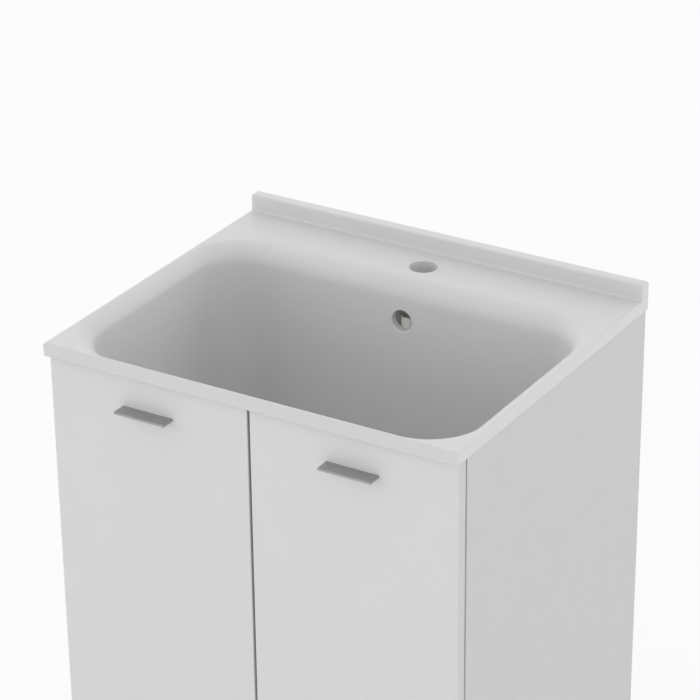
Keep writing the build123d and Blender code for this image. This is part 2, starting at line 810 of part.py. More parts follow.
def cam_bolts():
    head = -cam_inset
    neck_end = head + cam_radius + 2
    bolt = turned([
        (0, head - 1.5), (cam_bolt_head - 1, head - 1.5), (cam_bolt_head, head - 0.5),
        (cam_bolt_head, head + 1), (cam_bolt_neck, head + cam_bolt_head), (cam_bolt_neck, neck_end),
        (cam_bolt_radius, neck_end + 1), (cam_bolt_radius, cam_bolt_in_side - 1),
        (cam_bolt_radius - 1, cam_bolt_in_side), (0, cam_bolt_in_side),
    ])
    return both_sides([place * toward_right(bolt) for place in joint_places()])


def cam_discs():
    low = -board / 2
    disc = Pos(-cam_inset, 0, low) * upright(cam_radius, cam_depth)
    chamber = toward_right(upright(cam_bolt_head + seat, cam_bolt_head + 2.5))
    disc -= Pos(-cam_inset - 2, 0, 0) * chamber
    disc -= Pos(-cam_inset, 0, 0) * toward_right(upright(cam_bolt_neck + seat, cam_radius + 1))
    for turn in (0, 90):
        slot = Pos(-cam_inset, 0, low) * Rot(0, 0, turn) * Box(cam_radius * 1.3, 1.2, 3)
        disc -= slot
    return both_sides([place * disc for place in joint_places()])


def joint_bores(in_side):
    # The holes for one joint: in the side panel, or in the end and face of the board.
    if in_side:
        holes = dowel_row(Pos(-1, 0, 0) * toward_right(upright(dowel_radius + slip, dowel_in_side + 1.5)))
        holes.append(Pos(-1, 0, 0) * toward_right(upright(cam_bolt_radius + slip, cam_bolt_in_side + 1.5)))
        return holes
    depth = dowel_length - dowel_in_side
    holes = dowel_row(Pos(-depth - 0.5, 0, 0) * toward_right(upright(dowel_radius + slip, depth + 1)))
    holes.append(Pos(-cam_inset, 0, 0) * toward_right(upright(cam_bolt_head + slip, cam_inset + 1)))
    pocket = upright(cam_radius + slip, cam_depth + slip + 1)
    holes.append(Pos(-cam_inset, 0, -board / 2 - 1) * pocket)
    return holes


def drilled(panel, places, in_side=False):
    for place in places:
        for hole in joint_bores(in_side):
            panel -= place * hole
            if not in_side:
                panel -= mirrored(place * hole)
    return panel


def side_panel():
    panel = block((side_inner, carcass_front, cabinet_bottom), (side_outer, carcass_back, cabinet_top))
    panel = fillet(panel.edges().filter_by(Axis.Z), board_edge_round)
    panel = drilled(panel, joint_places(), in_side=True)
    for z in hinge_heights:
        for offset in pair_of(hinge_plate_screw_spacing):
            bore = toward_right(upright(screw_radius + slip, screw_length))
            panel -= Pos(side_inner - 1, hinge_screw_y(), z + offset) * bore
    bracket_y = bracket_places()[2][1]
    bore = toward_right(upright(screw_radius + slip, screw_length))
    return panel - Pos(side_inner - 1, bracket_y, cabinet_top - bracket_size * 0.6) * bore


def bottom_panel():
    panel = block((-side_inner, carcass_front, cabinet_bottom), (side_inner, carcass_back, floor_top))
    panel = fillet(near(panel.edges().filter_by(Axis.X), Axis.Y, carcass_front), board_edge_round)
    panel = drilled(panel, joint_places()[:2])
    pilot = upright(screw_radius + slip, screw_length + seat - leg_screw_grip() + 1)
    for x, y in leg_screw_places():
        panel -= Pos(x, y, cabinet_bottom - 1) * pilot
    return panel


def back_rail(low, height, place):
    rail = block((-side_inner, rail_front, low), (side_inner, carcass_back, low + height))
    return drilled(rail, [place])


def back_rail_top():
    rail = back_rail(cabinet_top - top_rail_height, top_rail_height, joint_places()[2])
    for sign in (-1, 1):
        hole = toward_back(upright(wall_hole_radius, board + 2))
        rail -= Pos(sign * wall_hole_spacing / 2, rail_front - 1, cabinet_top - wall_hole_below_top) * hole
        rail_x = bracket_places()[1][0]
        pilot = toward_back(upright(screw_radius + slip, screw_length))
        rail -= Pos(sign * rail_x, rail_front - 1, cabinet_top - bracket_size * 0.6) * pilot
    return rail


def back_rail_bottom():
    return back_rail(floor_top, bottom_rail_height, joint_places()[3])


def leg_screw_grip():
    # The part of a leg screw that stays within the plate.
    return leg_plate_thickness - screw_head_height


def leg_screw_places():
    offset = leg_screw_circle / math.sqrt(2)
    return [(x + a * offset, y + b * offset) for x, y in leg_places for a in (-1, 1) for b in (-1, 1)]


def leg_plates():
    plate = extrude(RectangleRounded(leg_plate, leg_plate, leg_plate_corner), leg_plate_thickness)
    plate = chamfer(near(plate.edges(), Axis.Z, 0), 1.0)
    collar = leg_radius + slip + leg_collar_wall
    plate += Pos(0, 0, -leg_collar_height) * tube(collar, leg_radius + slip, leg_collar_height)
    offset = leg_screw_circle / math.sqrt(2)
    for a in (-1, 1):
        for b in (-1, 1):
            place = Pos(a * offset, b * offset, -1)
            plate -= place * upright(screw_head_radius + seat, screw_head_height + 1)
            plate -= place * upright(screw_radius + seat, leg_plate_thickness + 2)
    return Compound(children=[Pos(x, y, leg_plate_under) * plate for x, y in leg_places])


def leg_screws():
    fixing = Rot(180, 0, 0) * screw()
    level = leg_plate_under + screw_head_height
    return Compound(children=[Pos(x, y, level) * fixing for x, y in leg_screw_places()])


def leg_columns():
    low = leg_plate_under - leg_column_length
    column = turned([
        (leg_bore, low), (leg_radius - 1, low), (leg_radius, low + 1), (leg_radius, leg_plate_under),
        (0, leg_plate_under), (0, leg_bore_top), (leg_bore, leg_bore_top),
    ])
    for turn in range(leg_ribs):
        angle = turn * 360 / leg_ribs
        groove = Pos(leg_radius + 0.6, 0, low + 5) * upright(1.4, leg_column_length - leg_collar_height - 10)
        column -= Rot(0, 0, angle) * groove
    return Compound(children=[Pos(x, y, 0) * column for x, y in leg_places])


def foot(x, y):
    stem = leg_bore - running
    top = foot_pad_height + foot_stem_length
    pad = foot_pad_radius
    body = turned([
        (0, 0), (pad - 1.5, 0), (pad, 1.5), (pad, 4), (leg_radius - 3, foot_pad_height),
        (stem, foot_pad_height), (stem, top - 1.5), (stem - 1.5, top), (0, top),
    ])
    return Pos(x, y, 0) * body


def door():
    panel = block((-side_outer, door_front, door_bottom), (-door_inner, door_back, door_top))
    back_edges = near(panel.edges().filter_by(Axis.Z), Axis.Y, door_back)
    panel = fillet(near(back_edges, Axis.X, -side_outer), door_hinge_round)
    front = panel.faces().sort_by(Axis.Y)[0]
    panel = fillet(front.edges(), door_round)
    cup = Pos(-side_outer + hinge_cup_centre, door_back - hinge_cup_depth - slip, 0)
    for z in hinge_heights:
        panel -= Pos(0, 0, z) * cup * toward_back(upright(hinge_cup_radius + slip, hinge_cup_depth + 1))
        for offset in pair_of(hinge_cup_screw_spacing):
            pilot = Pos(-side_outer + hinge_cup_centre, door_back - screw_length + seat, z + offset)
            panel -= pilot * toward_back(upright(screw_radius + slip, screw_length))
    through = toward_back(upright(screw_radius + seat, door_thickness + 2))
    for x in handle_screw_x():
        panel -= Pos(x, door_front - 1, handle_screw_z) * through
    return panel


def handle_screw_x():
    return [-handle_middle + offset for offset in pair_of(handle_screw_spacing)]


def handle():
    # A level blade on a flange that stays hidden below it.
    half = handle_width / 2
    tip = door_front - handle_reach
    blade = block((-half, tip, handle_top - handle_blade), (half, door_front, handle_top))
    blade = fillet(near(blade.edges().filter_by(Axis.X), Axis.Y, tip), handle_blade * 0.35)
    under = handle_top - handle_blade
    low = handle_top - handle_flange_height
    front = door_front - handle_flange
    outline = Polyline((0, door_front, under), (0, front - handle_root, under),
                       (0, front, under - handle_root), (0, front, low), (0, door_front, low), close=True)
    flange = extrude(make_face(outline), half - handle_flange_inset, both=True, dir=(1, 0, 0))
    bar = Pos(-handle_middle, 0, 0) * (blade + flange)
    for x in handle_screw_x():
        bore = toward_front(upright(screw_radius + slip, handle_screw_depth + slip + 1))
        bar -= Pos(x, door_front + 1, handle_screw_z) * bore
    return bar


def handle_screws():
    fixing = Rot(-90, 0, 0) * screw(door_thickness + handle_screw_depth)
    return Compound(children=[Pos(x, door_back, handle_screw_z) * fixing for x in handle_screw_x()])


# Hinges are drawn at the left door: x runs inward from its outer edge and y to the back from its back face.

def at_hinges(*shapes):
    places = [Pos(-side_outer, door_back, z) for z in hinge_heights]
    return Compound(children=[place * shape for place in places for shape in shapes])


def hinge_screw_y():
    return door_back + hinge_plate_start + hinge_plate_length / 2


def hinge_cups():
    centre = Pos(hinge_cup_centre, 0, 0)
    bore = hinge_cup_radius - hinge_cup_wall
    cup = centre * Pos(0, -hinge_cup_depth, 0) * toward_back(upright(hinge_cup_radius, hinge_cup_depth))
    wing = extrude(RectangleRounded(hinge_wing_width, hinge_wing_length, 4), hinge_wing_sheet)
    cup += centre * toward_back(wing)
    hollow = toward_back(upright(bore, hinge_cup_depth + 2))
    cup -= centre * Pos(0, hinge_cup_wall - hinge_cup_depth, 0) * hollow
    for offset in pair_of(hinge_cup_screw_spacing):
        cup -= centre * Pos(0, -1, offset) * toward_back(upright(screw_radius + seat, hinge_wing_sheet + 2))
    floor = hinge_cup_wall / 2 - hinge_cup_depth
    lugs = block((hinge_pin_in - hinge_lug_half, floor, -hinge_cup_radius),
                 (hinge_pin_in + hinge_lug_half, hinge_lug_half - hinge_pin_deep, hinge_cup_radius))
    lugs -= block((0, -hinge_cup_depth, -hinge_lug_start), (hinge_cup_centre, 0, hinge_lug_start))
    round_wall = toward_back(upright(bore + hinge_cup_wall / 2, hinge_cup_depth))
    cup += lugs & (centre * Pos(0, -hinge_cup_depth, 0) * round_wall)
    reach = hinge_pin_half() + slip
    cup -= Pos(hinge_pin_in, -hinge_pin_deep, -reach) * upright(hinge_pin_radius + slip, 2 * reach)
    return at_hinges(cup)


def hinge_pin_half():
    # The pin ends inside the lugs, just short of the cup's outer wall.
    return math.sqrt(hinge_cup_radius**2 - (hinge_cup_centre - hinge_pin_in + hinge_pin_radius) ** 2) - seat


def hinge_pins():
    reach = hinge_pin_half()
    return at_hinges(Pos(hinge_pin_in, -hinge_pin_deep, -reach) * upright(hinge_pin_radius, 2 * reach))


def hinge_cup_screws():
    fixing = toward_back(screw(screw_length - 1))
    offsets = pair_of(hinge_cup_screw_spacing)
    return at_hinges(*[Pos(hinge_cup_centre, hinge_wing_sheet, offset) * fixing for offset in offsets])


def hinge_arms():
    # The swan neck leaves the pin along the cup's floor and turns up beside the cup's far wall.
    pin = (hinge_pin_in, -hinge_pin_deep)
    end = hinge_arm_start + hinge_arm_length
    half = hinge_arm_sheet / 2
    route = Line((pin[0], pin[1]), (pin[0] + hinge_neck_run, pin[1]))
    route += RadiusArc((pin[0] + hinge_neck_run, pin[1]), (hinge_arm_out, hinge_arm_start), -hinge_neck_bend)
    route += Line((hinge_arm_out, hinge_arm_start), (hinge_arm_out, hinge_arm_start + 6))
    strip = trace(route, hinge_arm_sheet)
    neck = extrude(strip, hinge_neck_half, both=True)
    arm = neck + Pos(*pin, -hinge_neck_half) * upright(hinge_eye_radius, 2 * hinge_neck_half)
    wall = hinge_arm_half - hinge_bridge_half - slip
    low = hinge_plate_top + 1
    start = hinge_arm_start + 3
    arm += block((hinge_arm_out - half, start, -hinge_arm_half), (hinge_arm_out + half, end, hinge_arm_half))
    for edge in (-hinge_arm_half, hinge_arm_half - wall):
        arm += block((low, start + 3, edge), (hinge_arm_out + half, end, edge + wall))
    corners = near(arm.edges().filter_by(Axis.Y), Axis.X, hinge_arm_out + half)
    arm = fillet(corners.filter_by(lambda edge: abs(edge.center().Z) > hinge_arm_half - touch), 0.8)
    arm -= Pos(*pin, -hinge_neck_half - 1) * upright(hinge_pin_radius + running, 2 * hinge_neck_half + 2)
    for y in hinge_arm_screw_y():
        arm -= Pos(low, y, 0) * toward_right(upright(screw_radius + seat, hinge_arm_out))
    return at_hinges(arm)


def hinge_arm_screw_y():
    middle = hinge_plate_start + hinge_plate_length / 2
    return (middle - 9, middle + 9)


def hinge_plates():
    start = hinge_plate_start
    end = start + hinge_plate_length
    half = hinge_plate_width / 2
    plate = block((board, start + 9, -half), (hinge_plate_top, end - 9, half))
    plate += block((board, start, -hinge_bridge_half), (hinge_plate_top, end, hinge_bridge_half))
    bridge_top = hinge_arm_out - hinge_arm_sheet / 2
    plate += block((board, start + 2, -hinge_bridge_half), (bridge_top, end - 2, hinge_bridge_half))
    ends = plate.edges().filter_by(Axis.X).filter_by(lambda edge: abs(edge.center().Z) > half - touch)
    plate = fillet(ends, 5)
    middle = (start + end) / 2
    through = toward_right(upright(screw_radius + seat, hinge_plate_sheet + 2))
    for offset in pair_of(hinge_plate_screw_spacing):
        plate -= Pos(board - 1, middle, offset) * through
    for y in hinge_arm_screw_y():
        plate -= Pos(board + 1, y, 0) * toward_right(upright(screw_radius + slip, hinge_arm_out))
    return at_hinges(plate)


def hinge_plate_screws():
    middle = hinge_plate_start + hinge_plate_length / 2
    fixing = toward_right(screw(screw_length - 1))
    offsets = pair_of(hinge_plate_screw_spacing)
    return at_hinges(*[Pos(hinge_plate_top, middle, offset) * fixing for offset in offsets])


def hinge_arm_screws():
    top = hinge_arm_out + hinge_arm_sheet / 2
    fixing = toward_right(screw(top - board - 2))
    return at_hinges(*[Pos(top, y, 0) * fixing for y in hinge_arm_screw_y()])


def door_buffers():
    pad = toward_front(upright(buffer_radius, buffer_height))
    rim = pad.edges().filter_by(GeomType.CIRCLE).sort_by(Axis.Y)[0]
    pad = fillet(rim, 0.8)
    z = (door_bottom + floor_top) / 2
    return Compound(children=[Pos(sign * buffer_from_middle, carcass_front, z) * pad for sign in (-1, 1)])


def parts_of_door(side, change):
    makers = [
        door, handle, handle_screws, hinge_cups, hinge_pins, hinge_cup_screws,
        hinge_arms, hinge_plates, hinge_plate_screws, hinge_arm_screws,
    ]
    return {f"{make.__name__}_{side}": change(make()) for make in makers}


def parts():
    makers = [
        basin, basin_brackets, bracket_screws,
        waste_flange, waste_gasket_upper, waste_gasket_lower, waste_body, waste_screw,
        strainer_basket, strainer_knob, strainer_seal,
        overflow_elbow, overflow_gasket, overflow_pipe, overflow_nut,
        trap_nuts, trap_washers, trap_inlet_pipe, trap_body, trap_cup, trap_cup_seal, trap_outlet_pipe,
        bottom_panel, back_rail_top, back_rail_bottom, panel_dowels, cam_bolts, cam_discs,
        leg_plates, leg_screws, leg_columns, door_buffers,
    ]
    nodes = {make.__name__: make() for make in makers}
    nodes["side_panel_right"] = side_panel()
    nodes["side_panel_left"] = mirrored(side_panel())
    corners = ("front_left", "front_right", "back_left", "back_right")
    for corner, (x, y) in zip(corners, leg_places):
        nodes[f"foot_{corner}"] = foot(x, y)
    nodes.update(parts_of_door("left", lambda part: part))
    nodes.update(parts_of_door("right", mirrored))
    return nodes


os.makedirs("parts", exist_ok=True)
for name, part in parts().items():
    export_step(part, f"parts/{name}.step")
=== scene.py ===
import bpy
import json
import math
import numpy as np
from mathutils import Matrix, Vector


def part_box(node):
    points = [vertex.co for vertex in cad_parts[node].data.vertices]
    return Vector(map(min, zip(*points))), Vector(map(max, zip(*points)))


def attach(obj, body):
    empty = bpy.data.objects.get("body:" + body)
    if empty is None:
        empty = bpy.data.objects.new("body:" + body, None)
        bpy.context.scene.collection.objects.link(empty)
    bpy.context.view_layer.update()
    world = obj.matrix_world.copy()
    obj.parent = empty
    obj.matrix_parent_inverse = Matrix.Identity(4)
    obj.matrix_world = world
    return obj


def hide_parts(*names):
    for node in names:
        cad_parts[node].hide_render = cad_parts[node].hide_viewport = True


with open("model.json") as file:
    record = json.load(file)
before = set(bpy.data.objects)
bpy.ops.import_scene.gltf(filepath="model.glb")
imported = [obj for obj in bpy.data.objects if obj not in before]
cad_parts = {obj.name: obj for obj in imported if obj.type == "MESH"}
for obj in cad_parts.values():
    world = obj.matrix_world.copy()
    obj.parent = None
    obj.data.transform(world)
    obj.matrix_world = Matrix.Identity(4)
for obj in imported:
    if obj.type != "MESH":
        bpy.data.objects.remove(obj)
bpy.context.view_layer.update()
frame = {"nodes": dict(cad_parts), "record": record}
scene = bpy.context.scene
nodes = frame["nodes"]
record = frame["record"]
slotOf = {part["node"]: part["material_slot"] for part in record["subparts"]}
bodyOf = {node: body for body, held in record["behaviour"]["bodies"].items() for node in held}
print("frame loaded:", len(nodes), "nodes")


def boxOf(node):
    # The lowest and the highest corner of a node at rest, in metres.
    return np.array([list(corner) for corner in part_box(node)])


basinLook = {
    "width": 0.6, "edge": 0.018, "corner": 0.0008, "edgeRound": 0.003, "wall": 0.004,
    "land": 0.0035, "backLand": 0.093, "bowlDepth": 0.27, "bowlCorner": 0.084, "floorRound": 0.035,
    # Each lip's reach, drop, fullness and the draft in degrees of the wall below it.
    "sideLip": (0.0205, 0.020, 1.5, 3), "frontLip": (0.0285, 0.020, 1.15, 8),
    "backLip": (0.028, 0.028, 2.0, 2), "deckShares": (0.3, 0.6, 0.85),
    "upstandHeight": 0.0225, "upstandThickness": 0.018, "upstandSunk": 0.0035,
    "cove": 0.004, "coveSunk": 0.002, "coveSteps": 30,
    "tapHole": 0.019, "tapBack": 0.064, "tapFlare": 0.0006, "tapBoss": 0.025, "tapBossLength": 0.024,
    "overflowHole": 0.015, "overflowFlare": 0.0014, "overflowBelow": 0.0555, "overflowWall": 0.0035,
    "overflowLength": 0.008, "drainForward": 0.0075, "drainHole": 0.045, "drainSeat": 0.058,
    "drainDish": 0.088, "dishDrop": 0.0035, "seatDrop": 0.003, "seatThickness": 0.006,
    "ribPitch": 0.07, "ribThickness": 0.004, "ribsEachSide": 4, "acrossRib": 3,
    "soft": 0.0005, "drainSoft": 0.0004, "leastCorner": 0.0004, "boreReach": 0.03,
    # Steps along a long side, a short side and a corner of an outline.
    "outlineSteps": (56, 36, 22), "upstandSteps": (60, 4, 6),
}

# The row frame in metres: +X right, +Y to the wall, +Z up, the floor at z = 0.
basinBox = boxOf("basin")
deckFront, deckBack = basinBox[:, 1]
deckMiddle = (deckFront + deckBack) / 2
deckTop = basinBox[1, 2] - basinLook["upstandHeight"]
drainY = deckMiddle - basinLook["drainForward"]
overshoot = 0.001  # how far a tool or an added piece runs past the face that it cuts or joins


def meshFromRings(name, rings, closed=False, capped=False):
    # rings is (rings, points, 3). Each ring closes on itself and quads join it to the next one.
    # Faces look outwards where the rings run anticlockwise seen from above and follow each other upwards.
    ringCount, pointCount = rings.shape[:2]
    ring = np.arange(ringCount if closed else ringCount - 1)[:, None]
    point = np.arange(pointCount)[None, :]
    ringAfter, pointAfter = (ring + 1) % ringCount, (point + 1) % pointCount
    corners = (ring * pointCount + point, ring * pointCount + pointAfter,
               ringAfter * pointCount + pointAfter, ringAfter * pointCount + point)
    faces = np.stack(np.broadcast_arrays(*corners), -1).reshape(-1, 4).tolist()
    if capped:
        faces.append(list(range(pointCount))[::-1])
        faces.append(list(range((ringCount - 1) * pointCount, ringCount * pointCount)))
    mesh = bpy.data.meshes.new(name)
    mesh.from_pydata(rings.reshape(-1, 3), [], faces)
    mesh.update()
    return mesh


def repeated(mesh, moves):
    # One mesh that holds a copy for each 4 x 4 move.
    count = len(mesh.vertices)
    points = np.empty(count * 3)
    mesh.vertices.foreach_get("co", points)
    points = np.column_stack([points.reshape(-1, 3), np.ones(count)])
    faces = [np.array(polygon.vertices) for polygon in mesh.polygons]
    copies = [(points @ np.array(move).T)[:, :3] for move in moves]
    corners = [(face + count * index).tolist() for index in range(len(moves)) for face in faces]
    result = bpy.data.meshes.new(mesh.name)
    result.from_pydata(np.concatenate(copies), [], corners)
    result.update()
    return result


def moved(x=0.0, y=0.0, z=0.0, turn=0.0, axis="Z"):
    return Matrix.Translation((x, y, z)) @ Matrix.Rotation(math.radians(turn), 4, axis)


def smoothTo(mesh, angle):
    mesh.polygons.foreach_set("use_smooth", np.ones(len(mesh.polygons), bool))
    mesh.set_sharp_from_angle(angle=math.radians(angle))


def pieceFromMesh(name, mesh, smoothAngle=38, weighted=True):
    # Shading is smooth up to the given angle; broad faces keep their own direction up to their edges.
    piece = bpy.data.objects.new(name, mesh)
    scene.collection.objects.link(piece)
    smoothTo(mesh, smoothAngle)
    if weighted:
        modifier = piece.modifiers.new("weighted", "WEIGHTED_NORMAL")
        modifier.keep_sharp = True
    return piece


def combine(mesh, tools, operation):
    # Applies one exact Boolean for each tool mesh and gives back the result as a mesh.
    for tool in tools:
        body = bpy.data.objects.new("body", mesh)
        helper = bpy.data.objects.new("tool", tool)
        scene.collection.objects.link(body)
        scene.collection.objects.link(helper)
        modifier = body.modifiers.new("combine", "BOOLEAN")
        modifier.operation = operation
        modifier.solver = "EXACT"
        modifier.object = helper
        shown = body.evaluated_get(bpy.context.evaluated_depsgraph_get())
        mesh = bpy.data.meshes.new_from_object(shown)
        bpy.data.objects.remove(body)
        bpy.data.objects.remove(helper)
    return mesh


def outlinePattern(longSide, shortSide, arc):
    # For each point of a closed outline: its place along x and along y, -1 to 1, and its outward angle.
    alongX, alongY, angle = [], [], []
    for cornerX, cornerY, start in ((1, 1, 0), (-1, 1, 90), (-1, -1, 180), (1, -1, 270)):
        alongX.append(np.full(arc + 1, float(cornerX)))
        alongY.append(np.full(arc + 1, float(cornerY)))
        angle.append(np.linspace(start, start + 90, arc + 1))
        level = start in (0, 180)
        side = np.linspace(1, -1, (longSide if level else shortSide) + 1)[1:-1]
        still = np.ones(len(side))
        alongX.append(cornerX * (side if level else still))
        alongY.append(cornerY * (still if level else side))
        angle.append(np.full(len(side), start + 90.0))
    return np.concatenate(alongX), np.concatenate(alongY), np.radians(np.concatenate(angle))


def roundedRing(pattern, width, length, corner, middle, height, backCorner=None):
    # x = ax (w / 2 - r) + r cos t and y = middle + ay (l / 2 - r) + r sin t, at one height.
    alongX, alongY, angle = pattern
    radius = np.where(alongY > 0, corner if backCorner is None else backCorner, corner)
    x = alongX * (width / 2 - radius) + radius * np.cos(angle)
    y = middle + alongY * (length / 2 - radius) + radius * np.sin(angle)
    return np.stack([x, y, np.full(len(x), height)], -1)


def softened(profile, radius, closed=True, steps=3):
    # Each corner becomes a short curve (1-s)^2 a + 2s(1-s) corner + s^2 b, with a and b on its two sides,
    # radius away or at two fifths of a side that is too short.
    points = np.asarray(profile, float)
    before, after = np.roll(points, 1, 0) - points, np.roll(points, -1, 0) - points
    longBefore, longAfter = (np.linalg.norm(side, axis=1, keepdims=True) for side in (before, after))
    cut = np.minimum(radius, 0.4 * np.minimum(longBefore, longAfter))
    share = np.linspace(0, 1, steps + 1)[None, :, None]
    first = (points + before / longBefore * cut)[:, None]
    last = (points + after / longAfter * cut)[:, None]
    curve = (1 - share) ** 2 * first + 2 * share * (1 - share) * points[:, None] + share ** 2 * last
    if closed:
        return curve.reshape(-1, 2)
    return np.concatenate([points[:1], curve[1:-1].reshape(-1, 2), points[-1:]])


def turnedRings(profile, count=72):
    # A profile of (radius, height) carried round the z axis.
    turn = np.linspace(0, 2 * np.pi, count, endpoint=False)
    profile = np.asarray(profile, float)
    x = profile[:, :1] * np.cos(turn)
    y = profile[:, :1] * np.sin(turn)
    return np.stack([x, y, np.broadcast_to(profile[:, 1:], x.shape)], -1)


def flutedRings(profile, flutes, groove, centre, low, high, perFlute=16):
    # As turnedRings, and between two heights the radius is at most c cos d - sqrt(g^2 - c^2 sin^2 d),
    # with g the groove's radius, c its middle's distance from the axis and d the angle from that middle.
    rings = turnedRings(profile, flutes * perFlute)
    angle = np.arctan2(rings[..., 1], rings[..., 0])
    pitch = 2 * np.pi / flutes
    off = (angle + pitch / 2) % pitch - pitch / 2
    inside = groove ** 2 - (centre * np.sin(off)) ** 2
    wall = np.where(inside > 0, centre * np.cos(off) - np.sqrt(np.maximum(inside, 0)), 1.0)
    radius = np.hypot(rings[..., 0], rings[..., 1])
    between = (rings[..., 2] > low) & (rings[..., 2] < high) & (radius > centre - 2 * groove)
    factor = np.where(between, np.minimum(1, wall / radius), 1)
    return rings * np.stack([factor, factor, np.ones_like(factor)], -1)


def layToBack(rings):
    # The z axis of the rings becomes +Y.
    return np.stack([rings[..., 0], rings[..., 2], -rings[..., 1]], -1)


def quarterTurn(steps):
    return np.linspace(0, np.pi / 2, steps + 1)


def turnedMesh(name, profile, place=(0, 0, 0), closed=True, back=False, count=72):
    rings = turnedRings(profile, count)
    rings = layToBack(rings) if back else rings
    return meshFromRings(name, rings + np.array(place), closed=closed, capped=not closed)


def rodMesh(name, radius, low, high, place=(0, 0, 0), back=False, count=72):
    return turnedMesh(name, [(radius, low), (radius, high)], place, closed=False, back=back, count=count)


def blockMesh(name, low, high):
    x, y, z = np.transpose([low, high])
    around = np.array([[x[0], y[0]], [x[1], y[0]], [x[1], y[1]], [x[0], y[1]]])
    rings = np.stack([np.column_stack([around, np.full(4, height)]) for height in z])
    return meshFromRings(name, rings, capped=True)


def addNode(tree, kind, settings=None, **sockets):
    node = tree.nodes.new("ShaderNode" + kind)
    for key, value in (settings or {}).items():
        setattr(node, key, value)
    for key, value in sockets.items():
        name = key.replace("_", " ")
        socket = node.inputs[int(name[1:])] if name[0] == "i" and name[1:].isdigit() else node.inputs[name]
        if isinstance(value, bpy.types.NodeSocket):
            tree.links.new(value, socket)
        else:
            socket.default_value = value
    return node


def emptyTree(owner):
    owner.use_nodes = True
    owner.node_tree.nodes.clear()
    return owner.node_tree


def newMaterial(name, **shader):
    material = bpy.data.materials.new(name)
    tree = emptyTree(material)
    surface = addNode(tree, "BsdfPrincipled")
    for key, value in shader.items():
        surface.inputs[key.replace("_", " ")].default_value = value
    output = addNode(tree, "OutputMaterial")
    tree.links.new(surface.outputs[0], output.inputs[0])
    place = addNode(tree, "TexCoord")
    return material, tree, surface, place


def noise(tree, place, scale, stretch=None, detail=4.0, roughness=0.55):
    # Noise of so many features to the metre, drawn out along an axis where stretch is below 1.
    vector = place.outputs["Object"]
    if stretch:
        vector = addNode(tree, "Mapping", Vector=vector, Scale=stretch).outputs[0]
    node = addNode(tree, "TexNoise", Vector=vector, Scale=scale, Detail=detail, Roughness=roughness)
    return node.outputs["Fac"]


def spread(tree, value, low, high, fromLow=0.3, fromHigh=0.7):
    return addNode(tree, "MapRange", Value=value, From_Min=fromLow, From_Max=fromHigh,
                   To_Min=low, To_Max=high).outputs[0]


def blendColours(tree, factor, first, second):
    return addNode(tree, "Mix", {"data_type": "RGBA"}, i0=factor, i6=first, i7=second).outputs[2]


def blendNumbers(tree, factor, first, second):
    return addNode(tree, "Mix", {"data_type": "FLOAT"}, i0=factor, i2=first, i3=second).outputs[0]


def mathNode(tree, operation, first, second):
    return addNode(tree, "Math", {"operation": operation}, i0=first, i1=second).outputs[0]


def colour(values, share=1.0):
    return tuple(value * share for value in values) + (1.0,)


def grey(value):
    return (value, value, value, 1.0)


def reliefFrom(tree, surface, height, distance):
    bump = addNode(tree, "Bump", Height=height, Distance=distance)
    tree.links.new(bump.outputs[0], surface.inputs["Normal"])


# Smooth mouldings and foils: broad faint clouding, slow changes of gloss and the slight waviness of the skin.
skinFinishes = {
    "basinPolymer": {"base": (0.655, 0.655, 0.655), "share": 0.975, "clouds": 9, "rough": (0.36, 0.48),
                     "glossPatches": 28, "ripple": 90, "height": 0.00005},
    "doorFoil": {"base": (0.69, 0.69, 0.69), "share": 0.975, "clouds": 11, "rough": (0.38, 0.5),
                 # The door foil's last share is painted shade: it darkens the faces that look along x, the
                 # upright edges.
                 "glossPatches": 34, "ripple": 130, "height": 0.00004, "paintedSideShade": 0.83},
    "pipeWhite": {"base": (0.70, 0.70, 0.68), "share": 0.96, "clouds": 45, "rough": (0.3, 0.42),
                  "glossPatches": 60, "ripple": 260, "height": 0.00003},
    "sealRubber": {"base": (0.022, 0.022, 0.023), "share": 0.7, "clouds": 60, "rough": (0.6, 0.78),
                   "glossPatches": 90, "ripple": 900, "height": 0.00004},
    "legBlack": {"base": (0.022, 0.022, 0.024), "share": 0.8, "clouds": 45, "rough": (0.42, 0.56),
                 "glossPatches": 70, "ripple": 1600, "height": 0.00005},
    "bufferMilky": {"base": (0.66, 0.66, 0.63), "share": 0.94, "clouds": 45, "rough": (0.3, 0.4),
                    "glossPatches": 90, "ripple": 500, "height": 0.00002},
}


def skin(name):
    look = skinFinishes[name]
    material, tree, surface, place = newMaterial(name, IOR=1.49)
    cloud = noise(tree, place, look["clouds"], detail=3)
    tint = blendColours(tree, cloud, colour(look["base"], look["share"]), colour(look["base"]))
    if "paintedSideShade" in look:
        # Painted shade: faces that look along x, the door's upright edges, are painted a little darker than
        # the front face, as if less lit.
        sideways = addNode(tree, "SeparateXYZ", Vector=place.outputs["Normal"]).outputs["X"]
        onShadedSide = mathNode(tree, "GREATER_THAN", mathNode(tree, "MULTIPLY", sideways, sideways), 0.8)
        tint = blendColours(tree, onShadedSide, tint, colour(look["base"], look["paintedSideShade"]))
    tree.links.new(tint, surface.inputs["Base Color"])
    gloss = spread(tree, noise(tree, place, look["glossPatches"], detail=5), *look["rough"])
    tree.links.new(gloss, surface.inputs["Roughness"])
    reliefFrom(tree, surface, noise(tree, place, look["ripple"], detail=2), look["height"])
    return material


boardFinish = {
    "face": 0.57, "share": 0.98, "clouds": 14, "rough": (0.42, 0.55), "glossPatches": 40, "pearl": 1400,
    "height": 0.00012, "chipLight": (0.52, 0.36, 0.20), "chipDark": (0.24, 0.14, 0.07), "chips": 420,
    "chipGrain": 0.6, "chipRange": (0.08, 0.42), "chipRough": 0.9,
}


